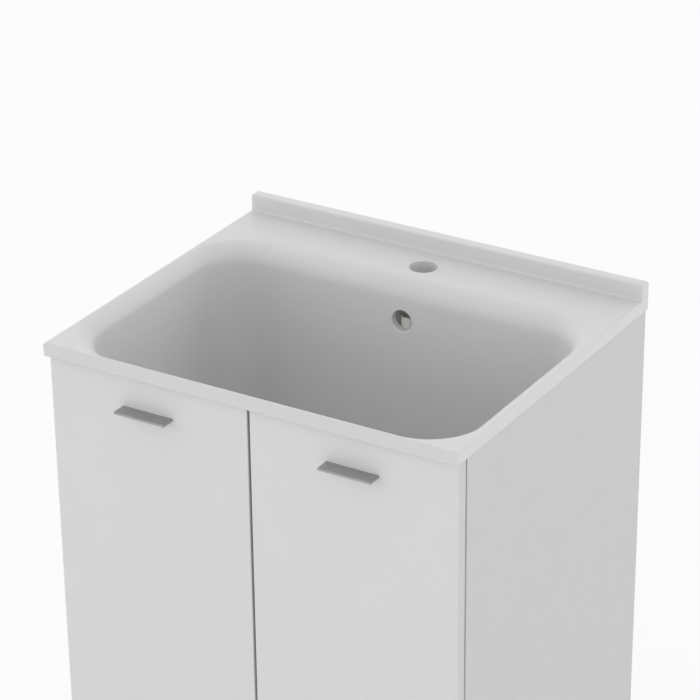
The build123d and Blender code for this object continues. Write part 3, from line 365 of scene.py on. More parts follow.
def boardMelamine(name, cutSides):
    # White facing with a fine pearl; faces that look along one of cutSides are cut board and show chips.
    look = boardFinish
    material, tree, surface, place = newMaterial(name, IOR=1.5)
    face = look["face"]
    cloud = noise(tree, place, look["clouds"], detail=3)
    facing = blendColours(tree, cloud, grey(face * look["share"]), grey(face))
    pearl = noise(tree, place, look["pearl"], detail=2)
    gloss = spread(tree, noise(tree, place, look["glossPatches"], detail=4), *look["rough"])
    cells = addNode(tree, "TexVoronoi", Vector=place.outputs["Object"], Scale=look["chips"], Randomness=1.0)
    grain = noise(tree, place, look["chips"] * look["chipGrain"], detail=5, roughness=0.7)
    mixed = mathNode(tree, "MULTIPLY", cells.outputs["Distance"], grain)
    chips = blendColours(tree, spread(tree, mixed, 0, 1, *look["chipRange"]), colour(look["chipDark"]),
                         colour(look["chipLight"]))
    split = addNode(tree, "SeparateXYZ", Vector=place.outputs["Normal"])
    cut = None
    for axis, sign in cutSides:
        toward = mathNode(tree, "MULTIPLY", split.outputs[axis], float(sign))
        here = mathNode(tree, "GREATER_THAN", toward, 0.9)
        cut = here if cut is None else mathNode(tree, "MAXIMUM", cut, here)
    tree.links.new(blendColours(tree, cut, facing, chips), surface.inputs["Base Color"])
    tree.links.new(blendNumbers(tree, cut, gloss, look["chipRough"]), surface.inputs["Roughness"])
    reliefFrom(tree, surface, blendNumbers(tree, cut, pearl, mixed), look["height"])
    return material


metalFinishes = {
    "handleMetal": {"base": (0.43, 0.43, 0.435), "share": 0.9, "rough": (0.36, 0.48), "grain": 900,
                    "stretch": (0.02, 1, 1), "height": 0.00002},
    "hingeNickel": {"base": (0.62, 0.61, 0.59), "share": 0.85, "rough": (0.2, 0.34), "grain": 700,
                    "stretch": (1, 1, 1), "height": 0.00002},
    "screwZinc": {"base": (0.60, 0.60, 0.62), "share": 0.8, "rough": (0.28, 0.45), "grain": 900,
                  "stretch": (1, 1, 1), "height": 0.00003},
    "camZinc": {"base": (0.42, 0.42, 0.43), "share": 0.75, "rough": (0.45, 0.62), "grain": 500,
                "stretch": (1, 1, 1), "height": 0.00005},
    "wasteSteel": {"base": (0.66, 0.66, 0.67), "share": 0.9, "rough": (0.14, 0.26), "grain": 1500,
                   "stretch": (1, 1, 0.03), "height": 0.00001},
}


def metal(name):
    # Bare or plated metal with a fine grain, drawn out along the way it was rolled or brushed.
    look = metalFinishes[name]
    material, tree, surface, place = newMaterial(name, Metallic=1.0)
    grain = noise(tree, place, look["grain"], look["stretch"], detail=4)
    tint = blendColours(tree, noise(tree, place, 60, detail=3), colour(look["base"], look["share"]),
                        colour(look["base"]))
    tree.links.new(tint, surface.inputs["Base Color"])
    tree.links.new(spread(tree, grain, *look["rough"]), surface.inputs["Roughness"])
    reliefFrom(tree, surface, grain, look["height"])
    return material


dowelLook = {
    "dark": (0.50, 0.33, 0.17), "light": (0.66, 0.47, 0.27), "rough": 0.62, "grain": 600, "along": 0.08,
    "height": 0.00005,
}


def dowelBeech():
    # Short dark flecks along a pale grain.
    look = dowelLook
    material, tree, surface, place = newMaterial("dowelBeech", Roughness=look["rough"])
    grain = noise(tree, place, look["grain"], (look["along"], 1, 1), detail=6, roughness=0.65)
    tint = blendColours(tree, spread(tree, grain, 0, 1), colour(look["dark"]), colour(look["light"]))
    tree.links.new(tint, surface.inputs["Base Color"])
    reliefFrom(tree, surface, grain, look["height"])
    return material


cutFaces = {
    "side_panel_left": (("Y", 1), ("Z", 1), ("Z", -1)),
    "side_panel_right": (("Y", 1), ("Z", 1), ("Z", -1)),
    "bottom_panel": (("Y", 1),),
    "back_rail_top": (("Z", 1), ("Z", -1)),
    "back_rail_bottom": (("Z", 1), ("Z", -1)),
}

finishes = {
    "basin_polymer": skin("basinPolymer"), "door_board": skin("doorFoil"), "dowel_wood": dowelBeech(),
    "handle_metal": metal("handleMetal"), "hinge_steel": metal("hingeNickel"),
    "screw_steel": metal("screwZinc"), "cam_zinc": metal("camZinc"), "waste_steel": metal("wasteSteel"),
    "pipe_plastic": skin("pipeWhite"), "seal_rubber": skin("sealRubber"),
    "leg_plastic": skin("legBlack"), "buffer_rubber": skin("bufferMilky"),
}
for nodeName, nodePiece in nodes.items():
    cutSides = cutFaces.get(nodeName)
    nodePiece.data.materials.clear()
    nodePiece.data.materials.append(boardMelamine("board_" + nodeName, cutSides) if cutSides
                                    else finishes[slotOf[nodeName]])
print("finishes on", len(nodes), "nodes")


def standFor(node, mesh, **shading):
    # The piece takes the node's place, body and finish.
    piece = pieceFromMesh(node + "_shape", mesh, **shading)
    piece.data.materials.clear()
    piece.data.materials.append(finishes[slotOf[node]])
    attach(piece, bodyOf[node])
    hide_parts(node)
    return piece


def lipInset(depth, reach, drop, fullness, draft):
    # A quarter superellipse, reach wide and drop deep; below it the wall leans in by its draft.
    share = 1 - min(max(depth, 0), drop) / drop
    lip = reach * (1 - share ** fullness) ** (1 / fullness)
    return lip + max(depth - drop, 0) * math.tan(math.radians(draft))


def bowlRing(pattern, depth, skinDepth):
    # The bowl's level outline: skinDepth is 0 inside and the wall's thickness outside.
    look = basinLook
    bottom = look["bowlDepth"] + skinDepth
    lower = bottom - look["floorRound"]
    level = min(depth, lower) - skinDepth
    sides = {}
    for side in ("sideLip", "frontLip", "backLip"):
        reach, drop, fullness, draft = look[side]
        sides[side] = lipInset(level, reach - skinDepth, drop - skinDepth, fullness, draft)
    turn = 0
    if depth > lower:
        turn = look["floorRound"] - math.sqrt(max(look["floorRound"] ** 2 - (depth - lower) ** 2, 0))
    width = look["width"] - 2 * (look["land"] + sides["sideLip"] + turn)
    low = deckFront + look["land"] + sides["frontLip"] + turn
    high = deckBack - look["backLand"] - sides["backLip"] - turn
    corner = look["bowlCorner"] - sides["sideLip"] - turn
    return roundedRing(pattern, width, high - low, corner, (low + high) / 2, deckTop - depth)


def bowlDepths(skinDepth):
    # Levels lie close together on the lip and on the floor's round.
    look = basinLook
    drop = look["backLip"][1]
    lower = look["bowlDepth"] + skinDepth - look["floorRound"]
    lip = skinDepth + (drop - skinDepth) * (1 - np.cos(quarterTurn(22)))
    wall = np.linspace(drop, lower, 14)[1:-1]
    floor = lower + look["floorRound"] * np.sin(quarterTurn(14))
    return np.concatenate([lip, wall, floor])


def drainRing(around, radius, height):
    # A circle about the drain whose points keep the floor outline's own directions.
    turn = np.arctan2(around[:, 1] - drainY, around[:, 0])
    return np.stack([radius * np.cos(turn), drainY + radius * np.sin(turn), np.full(len(turn), height)], -1)


def drainRings(outline):
    # From the drain hole's lower edge up its bore, out over the seat and up the dish to the bowl's floor.
    look = basinLook
    hole, seat, dish, soft = (look[key] for key in ("drainHole", "drainSeat", "drainDish", "drainSoft"))
    rim = deckTop - look["bowlDepth"] - look["dishDrop"]
    seatLevel = rim - look["seatDrop"]
    under = seatLevel - look["seatThickness"]
    steps = ((hole, under + soft), (hole, seatLevel - soft), (hole + soft, seatLevel),
             (seat - soft, seatLevel), (seat, seatLevel + soft), (seat, rim - soft), (seat + soft, rim))
    rings = [drainRing(outline, radius, height) for radius, height in steps]
    for share in np.linspace(0, 1, 9)[1:]:
        rise = share * share * (3 - 2 * share)
        rings.append(drainRing(outline, seat + (dish - seat) * share, rim + look["dishDrop"] * rise))
    last = rings[-1]
    return rings + [last + (outline - last) * share for share in np.linspace(0, 1, 7)[1:-1]], under


def makeBasin():
    # One closed surface: drain, bowl, deck, skirt and the bowl's outside, in rings that share one pattern.
    look = basinLook
    pattern = outlinePattern(*look["outlineSteps"])
    inner = [bowlRing(pattern, depth, 0) for depth in bowlDepths(0)[::-1]]
    rings, under = drainRings(inner[0])
    rings += inner

    def deckRing(inset, height):
        corner = max(look["corner"] - inset, look["leastCorner"])
        return roundedRing(pattern, look["width"] - 2 * inset, deckBack - deckFront - 2 * inset, corner,
                           deckMiddle, height)

    mouth, rounding, wall = inner[-1], look["edgeRound"], look["wall"]
    start = deckRing(rounding, deckTop)
    rings += [mouth + (start - mouth) * share for share in look["deckShares"]]
    rings += [deckRing(rounding * (1 - math.sin(turn)), deckTop - rounding * (1 - math.cos(turn)))
              for turn in quarterTurn(6)]
    skirt, soft = deckTop - look["edge"], look["soft"]
    rings += [deckRing(inset, height) for inset, height in (
        (0, skirt + soft), (soft, skirt), (wall - soft, skirt), (wall, skirt + soft), (wall, deckTop - wall))]
    outer = [bowlRing(pattern, depth, wall) for depth in bowlDepths(wall)[2:]]
    rings += outer
    last = outer[-1]
    ring = drainRing(last, look["drainDish"] + wall, deckTop - look["bowlDepth"] - wall)
    rings += [last + (ring - last) * share for share in (0.5, 1)]
    rings.append(drainRing(last, look["drainSeat"] + wall, under))
    rings.append(drainRing(last, look["drainHole"] + look["drainSoft"], under))
    mesh = meshFromRings("basin", np.stack(rings[::-1]), closed=True)
    mesh = combine(mesh, [upstandMesh(), coveMesh()] + underDeckMeshes(), "UNION")
    mesh = combine(mesh, holeMeshes(), "DIFFERENCE")
    return standFor("basin", mesh, smoothAngle=32, weighted=False)


def upstandMesh():
    # The plan outline carried up the back edge and turned in over its top.
    look = basinLook
    pattern = outlinePattern(*look["upstandSteps"])
    top = deckTop + look["upstandHeight"]
    thick, rounding, least = look["upstandThickness"], look["edgeRound"], look["leastCorner"]
    middle, foot = deckBack - thick / 2, deckTop - look["upstandSunk"]

    def ringAt(inset, height):
        back = max(look["corner"] - inset, least)
        front = max(rounding - inset, least)
        return roundedRing(pattern, look["width"] - 2 * inset, thick - 2 * inset, front, middle, height, back)

    rings = [ringAt(least / 2, foot - overshoot), ringAt(0, foot)]
    rings += [ringAt(rounding * (1 - math.cos(turn)), top - rounding * (1 - math.sin(turn)))
              for turn in quarterTurn(6)]
    return meshFromRings("upstand", np.stack(rings), capped=True)


def coveMesh():
    # The hollow round at the upstand's foot, carried along x.
    look = basinLook
    front, radius, deep = deckBack - look["upstandThickness"], look["cove"], look["coveSunk"]
    turn = quarterTurn(8)
    y = np.concatenate([front - radius + radius * np.sin(turn), [front + deep, front + deep, front - radius]])
    z = np.concatenate([deckTop + radius * (1 - np.cos(turn)),
                        [deckTop + radius, deckTop - deep, deckTop - deep]])
    half = look["width"] / 2 - look["edgeRound"]
    along = np.linspace(-half, half, look["coveSteps"] + 1)
    rings = np.stack([np.column_stack([np.full(len(y), x), y, z]) for x in along])
    return meshFromRings("cove", rings, capped=True)


def underDeckMeshes():
    # Ribs behind the bowl, the thick ring under the tap hole and the overflow's spigot.
    look = basinLook
    skirt, soft = deckTop - look["edge"], look["soft"]
    pitch, half = look["ribPitch"], look["ribThickness"] / 2
    plate = deckTop - look["wall"] + overshoot
    back = deckBack - look["wall"] + overshoot
    bowlEnd = deckBack - look["backLand"] + 2 * overshoot
    meshes = [blockMesh("rib", (step * pitch - half, bowlEnd, skirt), (step * pitch + half, back, plate))
              for step in range(-look["ribsEachSide"], look["ribsEachSide"] + 1)]
    wide = look["width"] / 2 - look["wall"] + overshoot
    y = deckMiddle + look["acrossRib"] * pitch
    meshes.append(blockMesh("rib", (-wide, y - half, skirt), (wide, y + half, plate)))
    boss, length = look["tapBoss"], look["tapBossLength"]
    profile = [(boss - soft, 0), (boss, soft), (boss, length - overshoot)]
    place = (0, deckBack - look["tapBack"], deckTop - length)
    meshes.append(turnedMesh("tapBoss", profile, place, closed=False))
    spigot, start = look["overflowHole"] + look["overflowWall"], 2 * overshoot
    reach = look["wall"] + look["overflowLength"] - start
    profile = [(spigot, 0), (spigot, reach - soft), (spigot - soft, reach)]
    place = (0, overflowWall() + start, deckTop - look["overflowBelow"])
    meshes.append(turnedMesh("spigot", profile, place, closed=False, back=True))
    return meshes


def overflowWall():
    return deckBack - basinLook["backLand"] - lipInset(basinLook["overflowBelow"], *basinLook["backLip"])


def holeMeshes():
    # Both bores widen in a small round where they meet the surface.
    look = basinLook
    radius, flare, reach = look["tapHole"], look["tapFlare"], look["boreReach"]
    profile = [(radius, -reach), (radius, -flare)]
    profile += [(radius + flare * (1 - math.cos(turn)), -flare * (1 - math.sin(turn)))
                for turn in quarterTurn(4)[1:]]
    profile.append((radius + flare + overshoot, overshoot))
    tap = turnedMesh("tapBore", profile, (0, deckBack - look["tapBack"], deckTop), closed=False)
    radius, flare, past = look["overflowHole"], look["overflowFlare"], 1.2 * overshoot
    profile = [(radius + flare + past, -past)]
    profile += [(radius + flare * (1 - math.sin(turn)), flare * (1 - math.cos(turn)))
                for turn in quarterTurn(5)]
    profile.append((radius, reach))
    overflow = turnedMesh("overflowBore", profile, (0, overflowWall(), deckTop - look["overflowBelow"]),
                          closed=False, back=True)
    return [tap, overflow]


basinPiece = makeBasin()
print("basin:", len(basinPiece.data.polygons), "faces")

axisGap = 0.0008  # the radius at which a turned profile that reaches its axis is capped
wideCount = 96    # points round the wide turned pieces
drainAxis = (0, drainY, 0)

wasteLook = {
    "sheet": 0.0015, "cup": 0.042, "screwHole": 0.0033, "drainHoles": 8, "drainHole": 0.006,
    "holeCircle": 0.027, "bore": 0.0445, "wall": 0.003, "rimHeight": 0.004, "bowlDepth": 0.062,
    "slope": 0.15, "outlet": 0.0239, "outletBore": 0.02, "hub": 0.008, "web": 0.003, "webHeight": 0.012,
    "webTurns": (45, 135), "inlet": 0.0131, "inletBore": 0.0082, "inletInto": 0.008, "inletPast": 0.01,
    "inletSocket": 0.0101, "socketLength": 0.016, "inletAboveFloor": 0.012, "round": 0.0018,
}


def makeFlange():
    # A pressed cup with a flat rim, turned about the drain's axis, with a ring of holes in its floor.
    look = wasteLook
    (low, top), rim = boxOf("waste_flange")[:, 2], boxOf("waste_flange")[1, 0]
    sheet, cup, hole, count = look["sheet"], look["cup"], look["screwHole"], look["drainHoles"]
    profile = [(hole, low), (cup, low), (cup, top - sheet), (rim, top - sheet), (rim, top),
               (cup - sheet, top), (cup - sheet, low + sheet), (hole, low + sheet)]
    mesh = turnedMesh("flange", softened(profile, look["round"]), drainAxis, count=wideCount)
    bore = rodMesh("bore", look["drainHole"], low - sheet, low + 2 * sheet, count=32)
    moves = [moved(y=drainY) @ moved(turn=index * 360 / count) @ moved(x=look["holeCircle"])
             for index in range(count)]
    return standFor("waste_flange", combine(mesh, [repeated(bore, moves)], "DIFFERENCE"))


strainerLook = {
    "taper": 0.004, "wall": 0.0012, "rows": 2, "slots": 16, "slot": (0.006, 0.0032), "slotInset": 0.006,
    "stem": 0.0035, "collar": 1.5, "collarHeight": 0.0015, "grip": 0.009, "gripDepth": 0.008,
    "gripEdge": 0.004, "gripTop": 0.001, "crown": 0.7, "crownHeight": 0.0015, "knobRound": 0.0012,
    "sealBore": 0.0085, "sealSlope": 0.0015, "soft": 0.0005, "basketRound": 0.002,
}


def makeStrainer():
    # A tapered sheet basket with rows of slots, its knob, and the seal below it.
    look = strainerLook
    low, high = boxOf("strainer_basket")
    radius, bottom, top = high[0], low[2], high[2]
    foot, wall, stem = radius - look["taper"], look["wall"], look["stem"]
    profile = [(stem, bottom), (foot, bottom), (radius, top), (radius - 2 * wall, top),
               (radius - 2 * wall, top - wall), (foot - wall, bottom + wall), (stem, bottom + wall)]
    mesh = turnedMesh("basket", softened(profile, look["basketRound"]), drainAxis, count=wideCount)
    tall, wide = look["slot"]
    outline = outlinePattern(2, 2, 6)
    tool = meshFromRings("slot", np.stack([roundedRing(outline, tall, wide, wide / 2, 0, depth)
                                           for depth in (0, radius)]), capped=True)
    pitch, share = (top - bottom) / (look["rows"] + 1), 360 / look["slots"]
    moves = [moved(0, drainY, bottom + (row + 1) * pitch) @ moved(turn=(step + row / 2) * share)
             @ moved(x=foot - look["slotInset"]) @ moved(turn=90, axis="Y")
             for row in range(look["rows"]) for step in range(look["slots"])]
    standFor("strainer_basket", combine(mesh, [repeated(tool, moves)], "DIFFERENCE"))

    end, grip, collarLow = boxOf("strainer_knob")[1, 2], look["grip"], bottom + wall
    collar, rise = stem * look["collar"], look["collarHeight"]
    knob = [(axisGap, bottom), (stem, bottom), (stem, collarLow), (collar, collarLow),
            (collar, collarLow + rise), (stem, collarLow + 2 * rise), (stem, top - look["gripDepth"]),
            (grip, top - look["gripEdge"]), (grip, top - look["gripTop"]),
            (grip * look["crown"], top + look["crownHeight"]), (axisGap, end)]
    knob = softened(knob, look["knobRound"], closed=False)
    standFor("strainer_knob", turnedMesh("knob", knob, drainAxis, closed=False))

    sealLow, outer = boxOf("strainer_seal")[0, 2], boxOf("strainer_seal")[1, 0]
    bore, slope = look["sealBore"], look["sealSlope"]
    seal = [(bore, sealLow), (outer - slope, sealLow), (outer, sealLow + slope), (outer, bottom),
            (bore, bottom)]
    standFor("strainer_seal", turnedMesh("seal", softened(seal, look["soft"]), drainAxis))


def makeWasteBody():
    # The bowl under the drain: a turned wall with its outlet below, a side inlet, and a webbed hub inside.
    look = wasteLook
    low, high = boxOf("waste_body")
    top, end, rim = high[2], low[2], high[0]
    bore, outlet, outletBore = look["bore"], look["outlet"], look["outletBore"]
    outer, bottom = bore + look["wall"], top - look["bowlDepth"]
    floor, slope, rimUnder = bottom + look["wall"], look["slope"] * outer, top - look["rimHeight"]
    profile = [(outletBore, end), (outlet, end), (outlet, bottom), (outer - slope, bottom),
               (outer, bottom + slope), (outer, rimUnder), (rim, rimUnder), (rim, top), (bore, top),
               (bore, floor + slope), (outletBore, floor)]
    mesh = turnedMesh("wasteBody", softened(profile, look["round"]), drainAxis, count=wideCount)
    place = (0, drainY, floor + look["inletAboveFloor"])
    reach, past, into = high[1] - drainY, look["inletPast"], bore - look["inletInto"]
    inlet = rodMesh("inlet", look["inlet"], bore, reach, place, back=True)
    hub = rodMesh("hub", look["hub"], floor - overshoot, boxOf("waste_flange")[0, 2], drainAxis)
    half, wide = look["web"] / 2, bore + overshoot
    web = blockMesh("web", (-wide, -half, floor), (wide, half, floor + look["webHeight"]))
    webs = [repeated(web, [moved(y=drainY) @ moved(turn=turn)]) for turn in look["webTurns"]]
    mesh = combine(mesh, [inlet, hub] + webs, "UNION")
    socketStart = reach - look["socketLength"]
    bores = [rodMesh("inletBore", look["inletBore"], into, reach + past, place, back=True),
             rodMesh("socket", look["inletSocket"], socketStart, reach + 2 * past, place, back=True)]
    return standFor("waste_body", combine(mesh, bores, "DIFFERENCE"))


nutLook = {
    "flutes": 12, "groove": 0.0022, "stand": 0.00099, "pipe": 0.0201, "thread": 0.024, "outer": 0.029,
    "lip": 0.003, "length": 0.024, "seatTop": 0.0053, "plain": 0.004, "chamfer": 0.0015, "soft": 0.0005,
}
overflowNutLook = {"inner": 0.0132, "outer": 0.0172, "mouth": 0.0102, "lip": 0.0025, "plain": 0.003}
toTheEnd = 1.0  # a height above every piece: grooves that run to the end of a piece stop here


def makeNuts():
    # Hand nuts: a stepped ring, open downwards, with grooves round its outside.
    look = nutLook
    top, lip, outer, soft = look["seatTop"], look["lip"], look["outer"], look["soft"]
    high, low = top + lip, top + lip - look["length"]
    grooveLow, chamfer, thread, pipe = low + look["plain"], look["chamfer"], look["thread"], look["pipe"]
    profile = softened([(thread, low), (outer, low), (outer, grooveLow), (outer, grooveLow + soft),
                        (outer, high - chamfer), (outer - chamfer, high), (pipe, high), (pipe, top),
                        (thread, top)], soft)
    rings = flutedRings(profile, look["flutes"], look["groove"], outer + look["stand"],
                        grooveLow + soft / 2, high - 1e-5)
    nut = meshFromRings("nut", rings, closed=True)
    bodyBox = boxOf("trap_body")
    outletZ = boxOf("trap_outlet_pipe")[:, 2].mean()
    moves = [moved(0, drainY, boxOf("waste_body")[0, 2], 180, "X"), moved(0, drainY, bodyBox[1, 2]),
             moved(0, bodyBox[1, 1], outletZ, -90, "X")]
    standFor("trap_nuts", repeated(nut, moves))

    start, length = boxOf("overflow_nut")[0, 1], np.ptp(boxOf("overflow_nut")[:, 1])
    inner, outer, mouth = (overflowNutLook[key] for key in ("inner", "outer", "mouth"))
    lip, plain = overflowNutLook["lip"], overflowNutLook["plain"]
    profile = softened([(inner, 0), (outer, 0), (outer, plain), (outer, plain + soft), (outer, length),
                        (mouth, length), (mouth, length - lip), (inner, length - lip)], soft)
    rings = flutedRings(profile, look["flutes"], look["groove"], outer + look["stand"],
                        plain + soft / 2, toTheEnd)
    inletZ = boxOf("overflow_nut")[:, 2].mean()
    rings = layToBack(rings) + np.array([0, start, inletZ])
    standFor("overflow_nut", meshFromRings("overflowNut", rings, closed=True))


trapLook = {
    "pipe": 0.02, "bore": 0.018, "collar": 0.0235, "collarHeight": 0.003, "spigot": 0.0239, "fit": 0.0201,
    "outer": 0.038, "wall": 0.0035, "neck": 0.022, "length": 0.096, "shoulder": 0.005, "ceilingSlope": 0.003,
    "side": 0.068, "sidePast": 0.01, "stop": 0.0437, "washer": 0.002, "pushIn": 0.045, "mark": 0.0015,
    "markDepth": 0.0004, "lead": 0.003, "leadIn": 0.0008, "soft": 0.0008,
}
trapCupLook = {
    "rim": 0.0411, "thread": 0.0381, "wall": 0.003, "overlap": 0.018, "gripBelow": 0.006, "waistBelow": 0.01,
    "floorRound": 0.012, "lean": 0.002, "insideRound": 0.01,
}


def makeTrap():
    # The bottle trap: a turned body with a side outlet, its screw cup and the two pipes.
    look = trapLook
    pipe, bore, soft, wall = look["pipe"], look["bore"], look["soft"], look["wall"]
    low, top = boxOf("trap_inlet_pipe")[:, 2]
    collar, under = look["collar"], top - look["collarHeight"]
    profile = [(bore, low), (pipe, low), (pipe, under), (collar, under), (collar, top), (bore, top)]
    standFor("trap_inlet_pipe", turnedMesh("inletPipe", softened(profile, soft / 2), drainAxis))

    outer, spigot, fit = look["outer"], look["spigot"], look["fit"]
    neckTop = boxOf("trap_body")[1, 2]
    top, inner = neckTop - look["neck"], outer - wall
    bottom = top - look["length"]
    ceiling, shoulder, slope = top - wall, look["shoulder"], look["ceilingSlope"]
    profile = [(inner, bottom), (outer, bottom), (outer, top - shoulder), (outer - shoulder, top),
               (spigot, top), (spigot, neckTop), (fit, neckTop), (fit, ceiling), (inner - slope, ceiling),
               (inner, ceiling - slope)]
    mesh = turnedMesh("trapBody", softened(profile, soft * 2), drainAxis, count=wideCount)
    outletZ = boxOf("trap_outlet_pipe")[:, 2].mean()
    place, stop, side = (0, drainY, outletZ), look["stop"], look["side"]
    mesh = combine(mesh, [rodMesh("side", spigot, pipe, side, place, back=True)], "UNION")
    bores = [rodMesh("well", inner, bottom - overshoot, ceiling - slope, drainAxis, count=wideCount),
             rodMesh("outletBore", bore, bore, stop + overshoot, place, back=True),
             rodMesh("outletSocket", fit, stop, side + look["sidePast"], place, back=True)]
    standFor("trap_body", combine(mesh, bores, "DIFFERENCE"))

    cup = trapCupLook
    rim, thread, lean, rise = cup["rim"], cup["thread"], cup["lean"], cup["floorRound"]
    low, ledge, cupTop = boxOf("trap_cup")[0, 2], bottom - look["washer"], bottom + cup["overlap"]
    grip, floor = ledge - cup["gripBelow"], low + cup["wall"]
    profile = [(axisGap, low), (outer - rise, low), (outer - lean, low + rise),
               (outer, ledge - cup["waistBelow"]), (rim, grip), (rim, grip + soft), (rim, cupTop),
               (thread, cupTop), (thread, ledge), (inner, ledge), (inner - lean, low + rise),
               (inner - cup["insideRound"], floor), (axisGap, floor)]
    rings = flutedRings(softened(profile, soft * 2, closed=False), nutLook["flutes"], nutLook["groove"],
                        rim + nutLook["stand"], grip, toTheEnd)
    standFor("trap_cup", meshFromRings("trapCup", rings + np.array(drainAxis), capped=True))

    start, end = boxOf("trap_outlet_pipe")[:, 1]
    length, depth = end - start, look["markDepth"]
    mark, lead, groove = length - look["pushIn"], length - look["lead"], pipe - depth
    profile = [(bore, 0), (pipe, 0), (pipe, mark - look["mark"]), (groove, mark - look["mark"] + depth),
               (groove, mark - depth), (pipe, mark), (pipe, lead), (pipe - look["leadIn"], length),
               (bore, length)]
    mesh = turnedMesh("outletPipe", softened(profile, soft / 2), (0, start, outletZ), back=True)
    standFor("trap_outlet_pipe", mesh)


overflowLook = {
    "pipe": 0.01, "bore": 0.0082, "bend": 0.042, "bendSteps": 18, "socket": 0.0186, "outer": 0.0214,
    "wall": 0.0028, "chamber": 0.015, "fall": 0.0129, "fallSocket": 0.0101, "fallDepth": 0.022,
    "sealDepth": 0.0077, "edges": (0.0003, 0.001, 0.0003, 0.0003, 0.0005, 0.0005, 0.004, 0.0003),
}


def makeOverflow():
    # The elbow is a cup laid on its side with a pipe falling from it; the pipe bends once towards the waste.
    # Ring points on the pipe are middle + r (side cos a + across sin a), with across square to the path.
    look = overflowLook
    low, high = boxOf("overflow_elbow")
    start, back = low[1], high[1]
    axisZ = deckTop - basinLook["overflowBelow"]
    fallY = back - look["fall"]
    chamber, socket, outer, seal = (look[key] for key in ("chamber", "socket", "outer", "sealDepth"))
    length = back - start
    inside = length - look["wall"]
    profile = [(axisGap, inside), (chamber, inside), (chamber, seal), (socket, seal), (socket, 0),
               (outer, 0), (outer, length), (axisGap, length)]
    radii = np.array(look["edges"])[:, None]
    profile = softened(profile, radii, closed=False, steps=6)
    cup = turnedMesh("elbow", profile, (0, start, axisZ), closed=False, back=True)
    place, socketTop = (0, fallY, 0), low[2] + look["fallDepth"]
    mesh = combine(cup, [rodMesh("fall", look["fall"], low[2], axisZ, place)], "UNION")
    bores = [rodMesh("chamber", chamber, seal, inside, (0, start, axisZ), back=True),
             rodMesh("fallSocket", look["fallSocket"], low[2] - overshoot, socketTop, place),
             rodMesh("fallBore", look["bore"], low[2], axisZ, place)]
    standFor("overflow_elbow", combine(mesh, bores, "DIFFERENCE"))

    low, high = boxOf("overflow_pipe")
    level, bend = low[2] + look["pipe"], look["bend"]
    turn = quarterTurn(look["bendSteps"])
    y = np.concatenate([[fallY], fallY - bend * (1 - np.cos(turn)), [low[1]]])
    z = np.concatenate([[high[2]], level + bend * (1 - np.sin(turn)), [level]])
    downward = np.concatenate([[0], turn, [np.pi / 2]])
    along = np.stack([np.zeros(len(y)), -np.sin(downward), -np.cos(downward)], -1)
    side = np.array([1.0, 0, 0])
    across = np.cross(along, side)
    around = np.linspace(0, 2 * np.pi, 48, endpoint=False)[None, :, None]
    wheel = side * np.cos(around) + across[:, None] * np.sin(around)
    middle = np.stack([np.zeros(len(y)), y, z], -1)[:, None]
    rings = np.concatenate([middle + look["pipe"] * wheel, (middle + look["bore"] * wheel)[::-1]])
    standFor("overflow_pipe", meshFromRings("overflowPipe", rings, closed=True))


legLook = {
    "radius": 0.017, "bore": 0.0102, "boreTop": 0.073, "chamfer": 0.001, "ribs": 12, "groove": 0.0014,
    "stand": 0.0006, "ribInset": 0.005, "ribLength": 0.047, "soft": 0.0006,
}
footLook = {
    "pad": 0.027, "padRound": 0.0015, "padEdge": 0.004, "hub": 0.014, "padTop": 0.01, "stem": 0.01015,
    "neck": 0.0008, "tip": 0.0015, "thread": 0.0025, "threadSteps": 8, "threadDepth": 0.0007,
    "threadLow": 0.001, "threadHigh": 0.002, "soft": 0.0006,
}
corners = ("front_left", "front_right", "back_left", "back_right")


def makeLegs():
    # Columns with grooves round their outside, bored from below for the feet.
    look = legLook
    low, top = boxOf("leg_columns")[:, 2]
    radius, bore, soft, inset = look["radius"], look["bore"], look["soft"], look["ribInset"]
    ribTop, chamfer = low + inset + look["ribLength"], look["chamfer"]
    profile = [(axisGap, look["boreTop"]), (bore, look["boreTop"]), (bore, low), (radius - chamfer, low),
               (radius, low + chamfer), (radius, low + inset), (radius, low + inset + soft),
               (radius, ribTop - soft), (radius, ribTop), (radius, top), (axisGap, top)]
    rings = flutedRings(softened(profile, soft / 2, closed=False), look["ribs"], look["groove"],
                        radius + look["stand"], low + inset + soft / 2, ribTop - soft / 2)
    middles = [boxOf("foot_" + corner)[:, :2].mean(0) for corner in corners]
    column = meshFromRings("column", rings, capped=True)
    standFor("leg_columns", repeated(column, [moved(*middle) for middle in middles]))
    for corner, middle in zip(corners, middles):
        makeFoot("foot_" + corner, middle)


def makeFoot(node, middle):
    # A dished pad on a threaded stem, whose radius is r - d (1 - cos(2 pi z / pitch - angle)) / 2.
    look = footLook
    pad, padRound, padTop, stem = look["pad"], look["padRound"], look["padTop"], look["stem"]
    neck, tip, end = look["neck"], look["tip"], boxOf(node)[1, 2]
    base = softened([(axisGap, 0), (pad - padRound, 0), (pad, padRound), (pad, look["padEdge"]),
                     (look["hub"], padTop), (stem + neck, padTop), (stem, padTop + neck)],
                    look["soft"], closed=False)
    heights = np.arange(padTop + neck, end - tip, look["thread"] / look["threadSteps"])[1:]
    shank = np.column_stack([np.full(len(heights), stem), heights])
    point = [(stem, end - tip), (stem - tip, end), (axisGap, end)]
    rings = turnedRings(np.concatenate([base, shank, point]), 48)
    height = rings[..., 2]
    angle = np.arctan2(rings[..., 1], rings[..., 0])
    ridge = 0.5 - 0.5 * np.cos(2 * np.pi * height / look["thread"] - angle)
    threaded = (height > padTop + look["threadLow"]) & (height < end - look["threadHigh"])
    factor = np.where(threaded, 1 - look["threadDepth"] * ridge / stem, 1)
    rings = rings * np.stack([factor, factor, np.ones_like(factor)], -1)
    mesh = meshFromRings("foot", rings + np.array([*middle, 0]), capped=True)
    standFor(node, mesh, smoothAngle=50)


